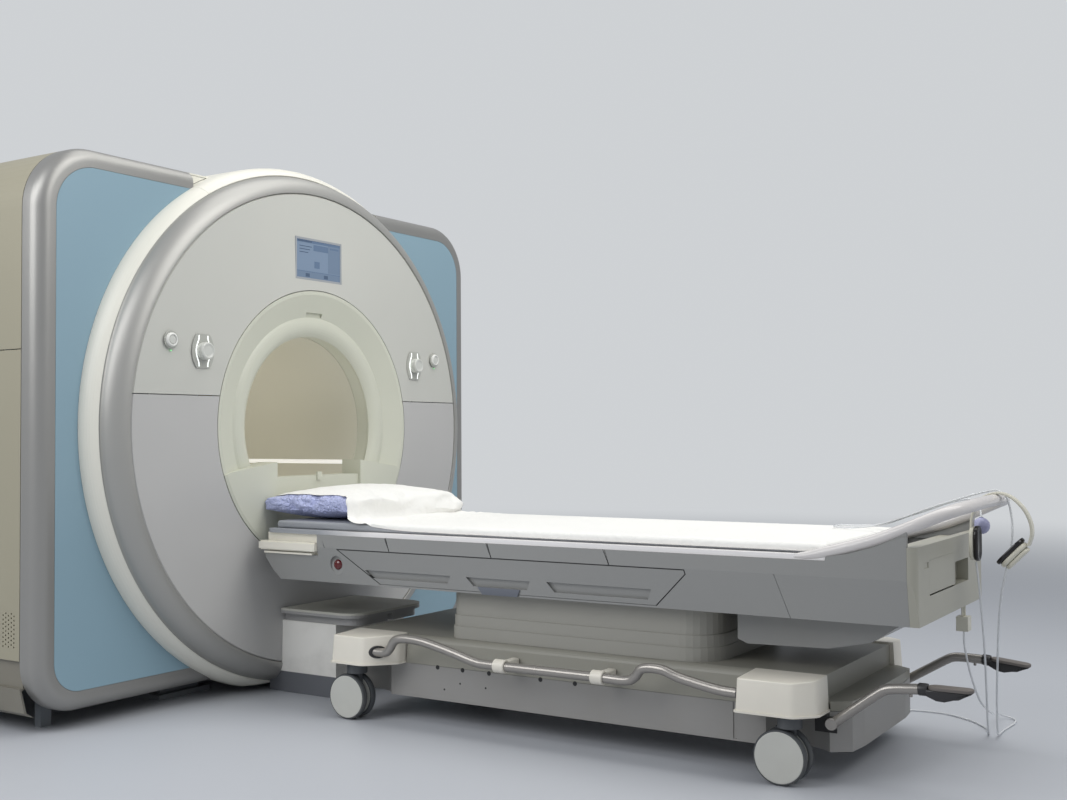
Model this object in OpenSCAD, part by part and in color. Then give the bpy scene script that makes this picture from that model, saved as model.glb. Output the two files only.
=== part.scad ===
/* [Bore and front] */
// Height of the bore's axis above the floor
axis_z = 979; // [950:1:1010]
// Radius of the patient bore
bore_r = 350; // [300:1:355]
// Outer radius of the entry funnel
funnel_r = 522; // [500:1:560]
// Outer radius of the front cover's flat face
face_r = 892; // [860:1:900]
// How far the metallic ring stands out round the front cover
ring_w = 71; // [60:1:80]
// How far the drum stands out round the metallic ring
drum_step = 38; // [28:1:48]
// Distance from the middle of the magnet to the front cover's inner edge
face_x = 865; // [850:1:880]
// How far the bore's mouth lies behind the front cover
funnel_deep = 48; // [40:1:60]
// How far the ring's outer edge lies behind the front cover
ring_deep = 68; // [60:1:75]
// Height above the floor of the seam between the two front covers
seam_z = 1086; // [1040:1:1110]
// Width of the open joints between covers
joint_w = 3; // [2:0.5:4]
// Wall of the moulded covers
cover_t = 6; // [4:0.5:8]

/* [Housing] */
// Distance from the middle of the magnet to the coloured front panels
panel_x = 732; // [715:1:745]
// How far the coloured panels reach past the drum on each side
panel_step = 85; // [70:1:105]
// Lowest edge of the coloured panels
panel_low = 126; // [110:1:150]
// Highest edge of the coloured panels
panel_high = 1830; // [1780:1:1850]
// Corner radius of the panels at the top
panel_top_r = 150; // [120:1:170]
// Corner radius of the panels at the bottom
panel_low_r = 100; // [80:1:130]
// Width of the metallic trim round the panels
trim_w = 66; // [55:1:75]
// How far the trim goes back round the corner
trim_deep = 80; // [70:1:110]
// Rounding of the trim's outer edge
trim_round = 46; // [30:1:52]
// Distance from the middle of the magnet to the back of the housing
housing_back = 858; // [820:1:900]
// Height of the seam in the side covers
side_seam_z = 1225; // [1100:1:1300]
// Lower edge of the side covers
side_low_z = 238; // [220:1:260]
// Half of the width between the ends of the trim over the top
top_half = 516; // [480:1:540]

/* [Magnet] */
// Room between the drum's rim and the magnet vessel
vessel_gap = 101; // [80:1:130]
// Radius of the vessel's warm bore
vessel_bore_r = 462; // [455:1:470]
// Distance from the front cover to the end of the magnet vessel
vessel_back = 155; // [145:1:190]
// Outer radius of the gradient coil
gradient_r = 452; // [440:1:453]
// Inner radius of the gradient coil
gradient_bore_r = 380; // [376:1:390]
// Inner radius of the body coil
body_coil_r = 362; // [361:0.5:366]
// Wall of the body coil
body_coil_t = 7; // [4:0.5:8]

/* [Operating panel] */
// Width of the display
display_w = 261; // [240:1:290]
// Height of the display
display_h = 161; // [140:1:180]
// Height of the display's middle above the floor
display_z = 1621; // [1590:1:1640]
// Sideways distance of the control knobs from the middle
knob_y = 592; // [580:1:610]
// Height of the control knobs above the floor
knob_z = 1239; // [1225:1:1260]
// Diameter of the control knobs
knob_d = 60; // [44:1:64]
// Sideways distance of the stop buttons from the middle
stop_y = 733; // [715:1:745]
// Height of the stop buttons above the floor
stop_z = 1270; // [1255:1:1290]
// Diameter of the stop buttons
stop_d = 30; // [20:1:34]

/* [Table] */
// Half width of the table at its top edge
table_y = 369; // [350:1:380]
// Height of the table's top edge above the floor
table_z = 616; // [600:1:640]
// Height of the table's side covers
side_h = 178; // [165:1:185]
// How far the side covers lean in towards the bottom
side_lean = 24; // [15:1:35]
// Height of the strip of rail covers under the top edge
strip_h = 57; // [50:1:62]
// Where the table begins, from the middle of the magnet
table_x0 = 936; // [925:1:950]
// Where the table's foot end is
table_x1 = 3240; // [3200:1:3280]
// Thickness of the tabletop
top_t = 14; // [10:1:18]
// Thickness of the mattress
mattress_t = 26; // [20:1:35]
// Wall of the table's covers
table_wall = 5; // [4:0.5:7]
// Diameter of the bow handle's tube
bow_d = 34; // [30:1:38]
// How far the table rises
lift_travel = 240; // [200:1:250]

/* [Trolley] */
// Half width of the trolley's base
base_y = 328; // [310:1:340]
// Where the trolley's base begins
base_x0 = 1300; // [1260:1:1310]
// Where the trolley's base ends
base_x1 = 3046; // [3030:1:3080]
// Lower edge of the trolley's skirt above the floor
base_low = 80; // [65:1:95]
// Height of the trolley's deck above the floor
deck_z = 281; // [270:1:290]
// Joint between the skirt and the deck cover
skirt_z = 189; // [180:1:200]
// Wheel diameter of the castors
wheel_d = 150; // [125:1:160]
// Distance of the gantry end castors from the middle of the magnet
castor_x0 = 1367; // [1360:1:1380]
// Distance of the foot end castors from the middle of the magnet
castor_x1 = 2883; // [2870:1:2900]
// Sideways distance of the castors from the middle
castor_y = 392; // [385:1:400]
// Diameter of the side rails' tube
rail_d = 29; // [26:1:32]
// Sideways distance of the side rails from the middle
rail_y = 412; // [405:1:425]
// Half width of the lift's cover
shell_y = 300; // [280:1:305]

/* [Hidden] */
// Smoothness of the large circles and of the small ones
big_fn = 180;
small_fn = 48;
// Clearance of a part that moves or is dropped into another
gap = 0.4;
far = 4000;
ring_r = face_r + ring_w;
drum_r = ring_r + drum_step;
panel_y = drum_r + panel_step;
vessel_l = 2 * (face_x - vessel_back);
vessel_r = drum_r - vessel_gap;

// Turns a flat profile of radius and distance along X round the bore's axis
module about_bore(profile) {
    translate([0, 0, axis_z])
        rotate([0, 90, 0])
            rotate_extrude($fn = big_fn)
                polygon(profile);
}

// Puts a flat outline of Y and Z on the plane x and thickens it towards +X
module upright(x, depth) {
    translate([x, 0, 0])
        rotate([90, 0, 90])
            linear_extrude(height = depth)
                children();
}

// Puts a flat outline of X and Z on the plane y and thickens it towards +Y
module sideways(y, depth) {
    translate([0, y + depth, 0])
        rotate([90, 0, 0])
            linear_extrude(height = depth)
                children();
}

module box(low, high) {
    translate(low)
        cube(high - low);
}

module both_sides() {
    children();
    mirror([0, 1, 0])
        children();
}

// Quarter arc from angle a to angle b about a centre
function arc(centre, r, a, b, n = 8) =
    [for (i = [0:n]) centre + r * [cos(a + (b - a) * i / n), sin(a + (b - a) * i / n)]];

// Outline of a rectangle with its own radius at the bottom and at the top corners
module round_rect(y, low, high, low_r, top_r) {
    polygon(concat(
        arc([y - low_r, low + low_r], low_r, -90, 0, 12),
        arc([y - top_r, high - top_r], top_r, 0, 90, 12),
        arc([-y + top_r, high - top_r], top_r, 90, 180, 12),
        arc([-y + low_r, low + low_r], low_r, 180, 270, 12)
    ));
}

// Unit vector, and a vector at right angles to it that stays the same way up along a route
function unit(v) = v / norm(v);
function route_way(p, i) =
    i == 0 ? unit(p[1] - p[0]) :
    i == len(p) - 1 ? unit(p[i] - p[i - 1]) :
    unit(unit(p[i + 1] - p[i]) + unit(p[i] - p[i - 1]));
function carried(v, w) = unit(v - (v * w) * w);
function route_sides(p, start, i = 0) =
    i == len(p) ? [] :
    let (s = carried(start, route_way(p, i)))
        concat([s], route_sides(p, s, i + 1));

// One tube of round section swept along a route's own points
module swept(p, r, n, start = [0, 0, 1]) {
    sides = route_sides(p, start);
    rings = [for (i = [0:len(p) - 1], k = [0:n - 1])
        let (w = route_way(p, i), s = sides[i], t = cross(w, s), a = 360 * k / n)
            p[i] + r * (cos(a) * s + sin(a) * t)];
    walls = [for (i = [0:len(p) - 2], k = [0:n - 1])
        [i * n + k, (i + 1) * n + k, (i + 1) * n + (k + 1) % n, i * n + (k + 1) % n]];
    ends = [[for (k = [0:n - 1]) k], [for (k = [n - 1:-1:0]) (len(p) - 1) * n + k]];
    polyhedron(points = rings, faces = concat(walls, ends), convexity = 6);
}

// Points on a smooth curve through hand-set points
function smooth_at(p, i, t) =
    let (
        a = p[max(i - 1, 0)],
        b = p[i],
        c = p[i + 1],
        d = p[min(i + 2, len(p) - 1)]
    )
    0.5 * (2 * b + (c - a) * t + (2 * a - 5 * b + 4 * c - d) * t * t
        + (3 * b - a - 3 * c + d) * t * t * t);
function smoothed(p, n) = concat(
    [for (i = [0:len(p) - 2], k = [0:n - 1]) smooth_at(p, i, k / n)],
    [p[len(p) - 1]]
);

// Front covers: a flat face that leans back a little towards its rim, with a turned-in rim
face_back = 8;
rim_deep = 46;
face_profile = [
    [funnel_r + joint_w, face_x],
    [face_r - 4, face_x - face_back],
    [face_r, face_x - face_back - 4],
    [face_r, face_x - rim_deep],
    [face_r - cover_t, face_x - rim_deep],
    [face_r - cover_t, face_x - face_back - cover_t - 1],
    [funnel_r + joint_w, face_x - cover_t]
];

module panel_holes() {
    for (side = [-1, 1]) {
        upright(face_x - 60, 80)
            translate([side * knob_y, knob_z])
                circle(d = knob_d + 14, $fn = small_fn);
        upright(face_x - 60, 80)
            translate([side * stop_y, stop_z])
                circle(d = stop_d + 10, $fn = small_fn);
    }
}

module front_cover_upper() {
    color("#d9dad6")
        difference() {
            intersection() {
                about_bore(face_profile);
                box([0, -far, seam_z + joint_w / 2], [far, far, far]);
            }
            box(
                [0, -display_w / 2 - gap, display_z - display_h / 2 - gap],
                [far, display_w / 2 + gap, display_z + display_h / 2 + gap]
            );
            panel_holes();
        }
}

module front_cover_lower() {
    color("#d6d6d4")
        difference() {
            intersection() {
                about_bore(face_profile);
                box([0, -far, -far], [far, far, seam_z - joint_w / 2]);
            }
            dock_room();
        }
}

// Room for the dock under the bore
module dock_room() {
    box([dock_x0 - gap, -dock_y - gap, -far], [far, dock_y + gap, dock_z + gap]);
}

// Metallic ring: a bulged band between the face's rim and the drum
ring_profile = concat(
    [[face_r + 2, face_x - rim_deep - 12], [face_r + 2, face_x - face_back - 3]],
    arc([face_r - 4, face_x - ring_deep - 12], ring_r - face_r + 4, 70, 0, 10),
    [[ring_r - 20, face_x - ring_deep - 12]]
);

module front_ring() {
    color("#9a9ca0")
        difference() {
            about_bore(ring_profile);
            dock_room();
        }
}

// The drum's front band swells from the ring back to the coloured panels
band_r = 74;
band_centre = [drum_r - band_r, panel_x];
band_profile = concat(
    arc(band_centre, band_r, 56, 0),
    [[drum_r, panel_x - 40], [drum_r - cover_t, panel_x - 40]],
    arc(band_centre, band_r - cover_t, 0, 56)
);
top_cut = atan2(top_half, sqrt(drum_r * drum_r - top_half * top_half));

// The wedge over the bore's axis in which the top cover lies
module top_wedge(extra = 0) {
    a = top_cut + extra;
    upright(-far, 2 * far)
        polygon([
            [0, axis_z],
            [-2 * far * sin(a), axis_z + 2 * far * cos(a)],
            [2 * far * sin(a), axis_z + 2 * far * cos(a)]
        ]);
}

module drum_bands() {
    color("#e6e4d9")
        difference() {
            about_bore(band_profile);
            top_wedge(0.09);
            box([-far, -far, -far], [far, far, floor_gap]);
            dock_room();
        }
}

// Silhouette of the whole housing, drawn in by t
floor_gap = 24;
module housing_outline(t) {
    intersection() {
        union() {
            round_rect(
                panel_y + trim_w - t,
                panel_low - trim_w + t,
                panel_high + trim_w - t,
                panel_low_r + trim_w - t,
                panel_top_r + trim_w - t
            );
            translate([0, axis_z])
                circle(r = drum_r - t, $fn = big_fn);
        }
        translate([-far, floor_gap])
            square([2 * far, far]);
    }
}

cover_front = panel_x - trim_deep;
module top_cover() {
    color("#e8e6dc")
        intersection() {
            union() {
                about_bore(band_profile);
                difference() {
                    upright(-housing_back, housing_back + panel_x - 40)
                        housing_outline(0);
                    upright(-housing_back - 1, housing_back + panel_x)
                        housing_outline(cover_t);
                }
            }
            top_wedge();
            difference() {
                box([-far, -far, 0], [far, far, far]);
                both_sides()
                    box([cover_front - joint_w, top_half - joint_w, 0], [panel_x, far, far]);
            }
        }
}

// Entry funnel with the two shelves beside the table
shelf_y = 234;
shelf_out_y = 463;
shelf_in_z = 848;
shelf_out_z = 816;
// The funnel's throat stands back from the bore's lining by a small step
throat_step = 3;
funnel_profile = concat(
    [[funnel_r, face_x], [funnel_r - 14, face_x - 1]],
    arc([bore_r + 44, face_x - funnel_deep - 38], 60, 62, 140, 8),
    [[bore_r + throat_step, face_x - funnel_deep - 14], [bore_r + throat_step, face_x - 110],
        [bore_r + cover_t, face_x - 110], [bore_r + 9, face_x - funnel_deep - 22],
        [funnel_r - 8, face_x - 40], [funnel_r, face_x - 40]]
);

module shelf_block() {
    intersection() {
        difference() {
            upright(face_x - 90, 96)
                polygon([
                    [shelf_y, shelf_in_z], [shelf_out_y, shelf_out_z], [shelf_out_y + 60, shelf_out_z - 20],
                    [shelf_out_y + 60, axis_z - funnel_r], [shelf_y, axis_z - funnel_r]
                ]);
            translate([face_x - 96, 0, shelf_in_z - 78])
                rotate([0, -14, 0])
                    box([-20, -far, -far], [0, far, far]);
        }
        about_bore([[0, face_x - 90], [funnel_r, face_x - 90], [funnel_r, face_x + 2],
            [funnel_r - 10, face_x + 6], [0, face_x + 6]]);
    }
}

module funnel_floor() {
    intersection() {
        box([face_x - 90, -shelf_y - 1, axis_z - funnel_r], [face_x - 6, shelf_y + 1, bridge_z]);
        about_bore([[0, 0], [funnel_r, 0], [funnel_r, far], [0, far]]);
    }
}

bridge_z = 792;
// Window of the laser cross in the top of the funnel
window_w = 90;
window_h = 16;
window_low = 424;
module entry_funnel() {
    color("#dfdfd0")
        union() {
            difference() {
                about_bore(funnel_profile);
                box(
                    [face_x - 37, -window_w / 2, axis_z + window_low],
                    [face_x, window_w / 2, axis_z + window_low + window_h]
                );
            }
            both_sides()
                shelf_block();
            funnel_floor();
            box([face_x - 8, -12, bridge_z - 16], [face_x + 2, 12, bridge_z + 14]);
        }
}

// Lining of the bore, open right through
liner_t = 5;
module bore_liner() {
    color("#c3c2bb")
        difference() {
            about_bore([
                [bore_r, -face_x + 110], [bore_r, face_x - 110],
                [bore_r + liner_t, face_x - 110], [bore_r + liner_t, -face_x + 110]
            ]);
            light_strips(-10, 10, 0.3);
        }
}

// Two long strips low on the sides of the bore, from one depth in its lining to another
light_w = 18;
module light_strips(inner, outer, grow) {
    both_sides()
        translate([0, 0, axis_z])
            rotate([-24, 0, 0])
                box(
                    [-face_x + 150 - grow, bore_r + inner, -light_w / 2 - grow],
                    [face_x - 130 + grow, bore_r + outer, light_w / 2 + grow]
                );
}

module bore_lights() {
    color("white")
        light_strips(0.5, liner_t - 0.5, 0);
}

module panel_outline(grow) {
    round_rect(
        panel_y + grow,
        panel_low - grow,
        panel_high + grow,
        panel_low_r + grow,
        panel_top_r + grow
    );
}

module front_panels() {
    color("#9fc3d3")
        difference() {
            upright(panel_x - 5, 5)
                panel_outline(-1);
            about_bore([[0, -far], [drum_r + gap, -far], [drum_r + gap, far], [0, far]]);
        }
}

// Trim: an angle section with a rounded outer edge, run round the panels
trim_wall = 5;
module trim_roll() {
    // The rounded edge is cut in equal steps from the front face to the side
    steps = 6;
    for (i = [0:steps - 1]) {
        a = 90 * i / steps;
        b = 90 * (i + 1) / steps;
        upright(panel_x - trim_round + trim_round * sin(a), trim_round * (sin(b) - sin(a)))
            panel_outline(trim_w - trim_round + trim_round * cos((a + b) / 2));
    }
    upright(cover_front, trim_deep - trim_round)
        panel_outline(trim_w);
}

module panel_trims() {
    color("#a5a5a3")
        difference() {
            trim_roll();
            upright(cover_front - 1, trim_deep + 2)
                panel_outline(0);
            upright(cover_front - 1, trim_deep - trim_wall + 1)
                panel_outline(trim_w - trim_round);
            about_bore([[0, -far], [drum_r + 2, -far], [drum_r + 2, far], [0, far]]);
            box([-far, -top_half, axis_z], [far, top_half, far]);
        }
}

module side_covers() {
    color("#e2dfd0")
        difference() {
            upright(-housing_back, housing_back + cover_front - joint_w)
                housing_outline(0);
            upright(-housing_back - 1, housing_back + cover_front + 2)
                housing_outline(cover_t);
            top_wedge(0.09);
            box([-far, -far, side_seam_z - joint_w / 2], [far, far, side_seam_z + joint_w / 2]);
            box([-far, -far, -far], [far, far, side_low_z]);
            for (i = [0:4], k = [0:7])
                translate([cover_front - 30 - 14 * i, 0, side_low_z + 42 + 14 * k + 7 * (i % 2)])
                    rotate([90, 0, 0])
                        cylinder(d = 7, h = 2 * far, center = true, $fn = 6);
        }
}

// Base skirt: closes the housing between the covers and the floor
skirt_top = 150;
skirt_y = panel_y + trim_w - 14;
module skirt_outline(t) {
    polygon([
        [-panel_y + 40, floor_gap - t], [panel_y - 40, floor_gap - t],
        [panel_y + trim_w - 20 - t, floor_gap + 46], [panel_y + trim_w - 2 - t, skirt_top - t],
        [skirt_y - t, skirt_top], [skirt_y - t, side_low_z - joint_w + t],
        [-skirt_y + t, side_low_z - joint_w + t], [-skirt_y + t, skirt_top],
        [-panel_y - trim_w + 2 + t, skirt_top - t], [-panel_y - trim_w + 20 + t, floor_gap + 46]
    ]);
}

module base_skirt() {
    color("#d8d5c6")
        difference() {
            union() {
                upright(-housing_back, housing_back + cover_front - joint_w)
                    skirt_outline(0);
                box(
                    [cover_front - joint_w - 1, -panel_y + 30, floor_gap],
                    [panel_x - 6, panel_y - 30, panel_low - trim_w - 0.5]
                );
            }
            upright(-housing_back - 1, 2 * far)
                skirt_outline(8);
        }
}

module rear_cover() {
    color("#e2dfd0")
        difference() {
            union() {
                upright(-housing_back - 8, 8)
                    housing_outline(0);
                about_bore([
                    [bore_r, -face_x + 110], [bore_r, -housing_back - 2],
                    [bore_r + 40, -housing_back - 20], [bore_r + 90, -housing_back - 20],
                    [bore_r + 110, -housing_back - 8], [bore_r + 60, -housing_back],
                    [bore_r + liner_t, -housing_back + 20], [bore_r + liner_t, -face_x + 110]
                ]);
            }
            about_bore([[0, -far], [bore_r, -far], [bore_r, 0], [0, 0]]);
        }
}

module magnet_vessel() {
    color("#e9e9e6")
        about_bore(concat(
            arc([vessel_bore_r + 40, vessel_l / 2 - 40], 40, 180, 90, 4),
            arc([vessel_r - 90, vessel_l / 2 - 90], 90, 90, 0, 6),
            arc([vessel_r - 90, -vessel_l / 2 + 90], 90, 0, -90, 6),
            arc([vessel_bore_r + 40, -vessel_l / 2 + 40], 40, -90, -180, 4)
        ));
}

wedge_gap = 0.8;
module gradient_coil() {
    color("#b9863f")
        union() {
            about_bore([
                [gradient_bore_r, -vessel_l / 2 + 40], [gradient_bore_r, vessel_l / 2 - 40],
                [gradient_r, vessel_l / 2 - 40], [gradient_r, -vessel_l / 2 + 40]
            ]);
            // Wedges hold the coil in the vessel's warm bore
            for (i = [0:7], x = [-vessel_l / 2 + 60, vessel_l / 2 - 100])
                translate([0, 0, axis_z])
                    rotate([45 * i, 0, 0])
                        box([x, -20, gradient_r - 2], [x + 40, 20, vessel_bore_r - wedge_gap]);
        }
}

module body_coil() {
    color("#d7d2b4")
        union() {
            about_bore([
                [body_coil_r, -420], [body_coil_r, 420], [body_coil_r + body_coil_t, 420],
                [body_coil_r + body_coil_t, -420]
            ]);
            for (i = [0:7])
                translate([0, 0, axis_z])
                    rotate([45 * i, 0, 0])
                        box(
                            [-410, -16, body_coil_r + body_coil_t - 1],
                            [410, 16, gradient_bore_r - wedge_gap]
                        );
        }
}

// Four feet on a floor frame carry the vessel
foot_plate = 18;
foot_y = 430;
module magnet_feet() {
    color("#70757a")
        difference() {
            union() {
                for (x = [-480, 480], side = [-1, 1])
                    box([x - 90, side * foot_y - 90, 0], [x + 90, side * foot_y + 90, 340]);
                for (side = [-1, 1])
                    box([-600, side * foot_y - 120, 0], [600, side * foot_y + 120, foot_plate]);
                box([-80, -foot_y, 0], [80, foot_y, foot_plate]);
            }
            about_bore([[0, -far], [vessel_r, -far], [vessel_r, far], [0, far]]);
            // Each foot is a box section, open through its length and with a hand hole across
            for (side = [-1, 1], x = [-480, 480]) {
                box([x - 74, side * foot_y - 91, foot_plate], [x + 74, side * foot_y + 91, 130]);
                box([x - 91, side * foot_y - 60, 40], [x + 91, side * foot_y + 60, 120]);
            }
        }
}

hoop_x = [-600, 0, 560];
hoop_w = 30;
hoop_deep = 24;
module cover_frame() {
    color("#8d9298")
        union() {
            // Ring behind the rims of the two front covers
            difference() {
                about_bore([
                    [face_r - cover_t - 90, face_x - rim_deep - 12],
                    [face_r - cover_t - 90, face_x - rim_deep],
                    [face_r + 1.7, face_x - rim_deep], [face_r + 1.7, face_x - rim_deep - 12]
                ]);
                dock_room();
            }
            // Ring inside the drum's band
            difference() {
                about_bore([
                    [face_r - 120, vessel_l / 2 + 2], [face_r - 120, vessel_l / 2 + 10],
                    [drum_r - cover_t - soft_gap, vessel_l / 2 + 10],
                    [drum_r - cover_t - soft_gap, vessel_l / 2 + 2]
                ]);
                box([-far, -far, -far], [far, far, floor_gap]);
                dock_room();
            }
            for (a = [20:40:340])
                translate([0, 0, axis_z])
                    rotate([a, 0, 0])
                        box(
                            [vessel_l / 2 + soft_gap, -20, -face_r + 80],
                            [face_x - rim_deep - 6, 20, -face_r + 120]
                        );
            // Hoops behind the side and top covers stand on legs inside the skirt
            for (x = hoop_x) {
                difference() {
                    upright(x, hoop_w)
                        housing_outline(cover_t);
                    upright(x - 1, hoop_w + 2)
                        housing_outline(cover_t + hoop_deep);
                    box([-far, -far, -far], [far, far, side_low_z + 5]);
                }
                both_sides() {
                    box([x, panel_y - 96, 0], [x + hoop_w, panel_y - 56, side_low_z + 50]);
                    box(
                        [x, panel_y - 96, side_low_z + 10],
                        [x + hoop_w, panel_y + trim_w - cover_t - soft_gap, side_low_z + 50]
                    );
                    box(
                        [x, vessel_r + soft_gap, axis_z - 20],
                        [x + hoop_w, panel_y + trim_w - cover_t - soft_gap, axis_z + 20]
                    );
                }
            }
        }
}

// Operating panel
module display() {
    color("#7d8fb0")
        difference() {
            box(
                [face_x - 34, -display_w / 2, display_z - display_h / 2],
                [face_x - 2, display_w / 2, display_z + display_h / 2]
            );
            box(
                [face_x - 4, -display_w / 2 + 8, display_z - display_h / 2 + 8],
                [face_x, display_w / 2 - 8, display_z + display_h / 2 - 8]
            );
        }
}

plate_h = 118;
shaft_d = 14;
knob_l = 30;
module lens_plate() {
    // Two arcs of one large circle meet at the top and bottom, and a disc fills the middle
    union() {
        intersection() {
            translate([44, 0])
                circle(r = 94, $fn = 64);
            translate([-44, 0])
                circle(r = 94, $fn = 64);
            square([120, plate_h], center = true);
        }
        circle(d = knob_d + 14 - 2 * gap, $fn = 64);
    }
}

module knob_plates() {
    color("#e8e8e3")
        for (side = [-1, 1]) {
            difference() {
                union() {
                    upright(face_x - 1, 3)
                        translate([side * knob_y, knob_z])
                            lens_plate();
                    upright(face_x - 30, 30)
                        translate([side * knob_y, knob_z])
                            circle(d = knob_d + 14 - 2 * gap, $fn = 64);
                }
                upright(face_x - 31, 40)
                    translate([side * knob_y, knob_z])
                        circle(d = shaft_d, $fn = small_fn);
            }
            difference() {
                union() {
                    upright(face_x - 1, 4)
                        translate([side * stop_y, stop_z])
                            circle(d = stop_d + 30, $fn = 64);
                    upright(face_x - 30, 30)
                        translate([side * stop_y, stop_z])
                            circle(d = stop_d + 10 - 2 * gap, $fn = 64);
                }
                upright(face_x - 31, 40)
                    translate([side * stop_y, stop_z])
                        circle(d = stop_d, $fn = small_fn);
            }
        }
}

module knob(side) {
    color("#dcdcd8")
        translate([0, side * knob_y, knob_z])
            rotate([0, 90, 0])
                rotate_extrude($fn = 72)
                    polygon(concat(
                        [[0, face_x - 26], [shaft_d / 2 - 0.05, face_x - 26], [shaft_d / 2 - 0.05, face_x + 2.4],
                            [knob_d / 2, face_x + 2.4]],
                        arc([knob_d / 2 - 6, face_x + knob_l - 6], 6, 0, 90, 4),
                        [[knob_d / 2 - 12, face_x + knob_l - 3], [0, face_x + knob_l - 3]]
                    ));
}

module knob_left() {
    knob(-1);
}

module knob_right() {
    knob(1);
}

module stop_button(side) {
    color("#f2f2ee")
        translate([0, side * stop_y, stop_z])
            rotate([0, 90, 0])
                rotate_extrude($fn = small_fn)
                    polygon(concat(
                        [[0, face_x - 24], [stop_d / 2 - 0.05, face_x - 24]],
                        arc([stop_d / 2 - 4.05, face_x + 6], 4, 0, 90, 4),
                        [[0, face_x + 10]]
                    ));
}

module stop_button_left() {
    stop_button(-1);
}

module stop_button_right() {
    stop_button(1);
}

// Dock: a floor box under the bore with an overhanging cap that guides the trolley
dock_y = 195;
dock_z = 263;
dock_x0 = face_x - 70;
dock_x1 = 1119;
cap_y = 210;
cap_x1 = 1226;
cap_z = 309;

module cap_outline(y, x1, r) {
    polygon(concat(
        [[face_x + 1, -y]],
        arc([x1 - r, -y + r], r, -90, 0),
        arc([x1 - r, y - r], r, 0, 90),
        [[face_x + 1, y]]
    ));
}

module dock_box() {
    color("#cfd0cc")
        union() {
            box([dock_x0, -dock_y, 0], [dock_x1, dock_y, dock_z]);
            box([face_x + 1, -dock_y - 2, 0], [dock_x1 + 2, dock_y + 2, 75]);
        }
}

module dock_cap() {
    color("#b5b5ab")
        difference() {
            union() {
                translate([0, 0, dock_z])
                    linear_extrude(height = cap_z - 18 - dock_z)
                        cap_outline(cap_y - 22, cap_x1 - 16, 60);
                translate([0, 0, cap_z - 18])
                    linear_extrude(height = 18)
                        cap_outline(cap_y, cap_x1, 80);
            }
            box([cap_x1 - 60, -14, dock_z - 1], [cap_x1 + 1, 14, cap_z - 20]);
        }
}

// Table: one set of outlines shapes the body and every cover on it
table_low = table_z - side_h;
strip_low = table_z - strip_h;
foot_x = table_x1 - 25;
foot_top = 647;
top_x1 = table_x1 - 244;

module table_section(t) {
    polygon([
        [table_y - t, 780], [table_y - t, strip_low], [table_y - side_lean - t, table_low + t],
        [-table_y + side_lean + t, table_low + t], [-table_y + t, strip_low], [-table_y + t, 780]
    ]);
}

// Centre line of the bow handle on one side, and the edge that carries it
bow_route = [
    [3000, -352, 631], [3060, -352, 641], [3130, -350, 661], [3200, -346, 689],
    [3250, -340, 711], [3292, -322, 730], [3322, -284, 742], [3338, -200, 749],
    [3343, -90, 752], [3343, 0, 752]
];
bow_r = bow_d / 2;
function edge_point(p) = [p[0], p[2] - bow_r - gap];

module table_profile() {
    polygon(concat(
        [[table_x0, table_z - top_t], [table_x0, table_z - 102], [table_x0 + 29, table_z - 150],
            [table_x0 + 58, table_low], [foot_x, table_low - 1], [foot_x, bow_route[3][2] - bow_r]],
        [for (i = [3:-1:0]) edge_point(bow_route[i])],
        [[top_x1 + gap, table_z - top_t]]
    ));
}

module table_layer(outer, inner) {
    difference() {
        upright(table_x0 - 10, table_x1 - table_x0)
            table_section(outer);
        upright(table_x0 - 20, table_x1 - table_x0 + 40)
            table_section(inner);
    }
}

// Outline of the long access panel, drawn in by t
panel_x0 = 1274;
panel_x1 = 2582;
module access_outline(t) {
    polygon([
        [panel_x0 + 2 * t, strip_low - 3 - t], [panel_x1 - t, strip_low - 3 - t],
        [panel_x1 + 3 - t, strip_low - 16], [panel_x1 - 100 - t, table_low + 6 + t],
        [panel_x0 + 172 + t, table_low + 6 + t]
    ]);
}

module slot_outline(x0, x1, low, high) {
    polygon([[x0, high], [x1, high], [x1 - 14, low], [x0 + 26, low]]);
}

module panel_slots() {
    slot_outline(1390, 1746, 464, 490);
    slot_outline(1807, 2050, 462, 490);
    slot_outline(2110, 2470, 461, 492);
}

strip_cuts = [1199, 1483, 1893, 2315];
module strip_outline(i) {
    slant = 20;
    polygon([
        [strip_cuts[i] + joint_w, table_z - top_t], [strip_cuts[i + 1], table_z - top_t],
        [strip_cuts[i + 1] + slant, strip_low], [strip_cuts[i] + slant + joint_w, strip_low]
    ]);
}

module side_panels() {
    color("#d4d4d2")
        for (side = [-1, 1])
            intersection() {
                table_layer(0, table_wall - 1);
                sideways(side > 0 ? 0 : -far, far)
                    union() {
                        difference() {
                            access_outline(joint_w / 2);
                            panel_slots();
                        }
                        for (i = [0:2])
                            strip_outline(i);
                    }
            }
}

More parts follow.
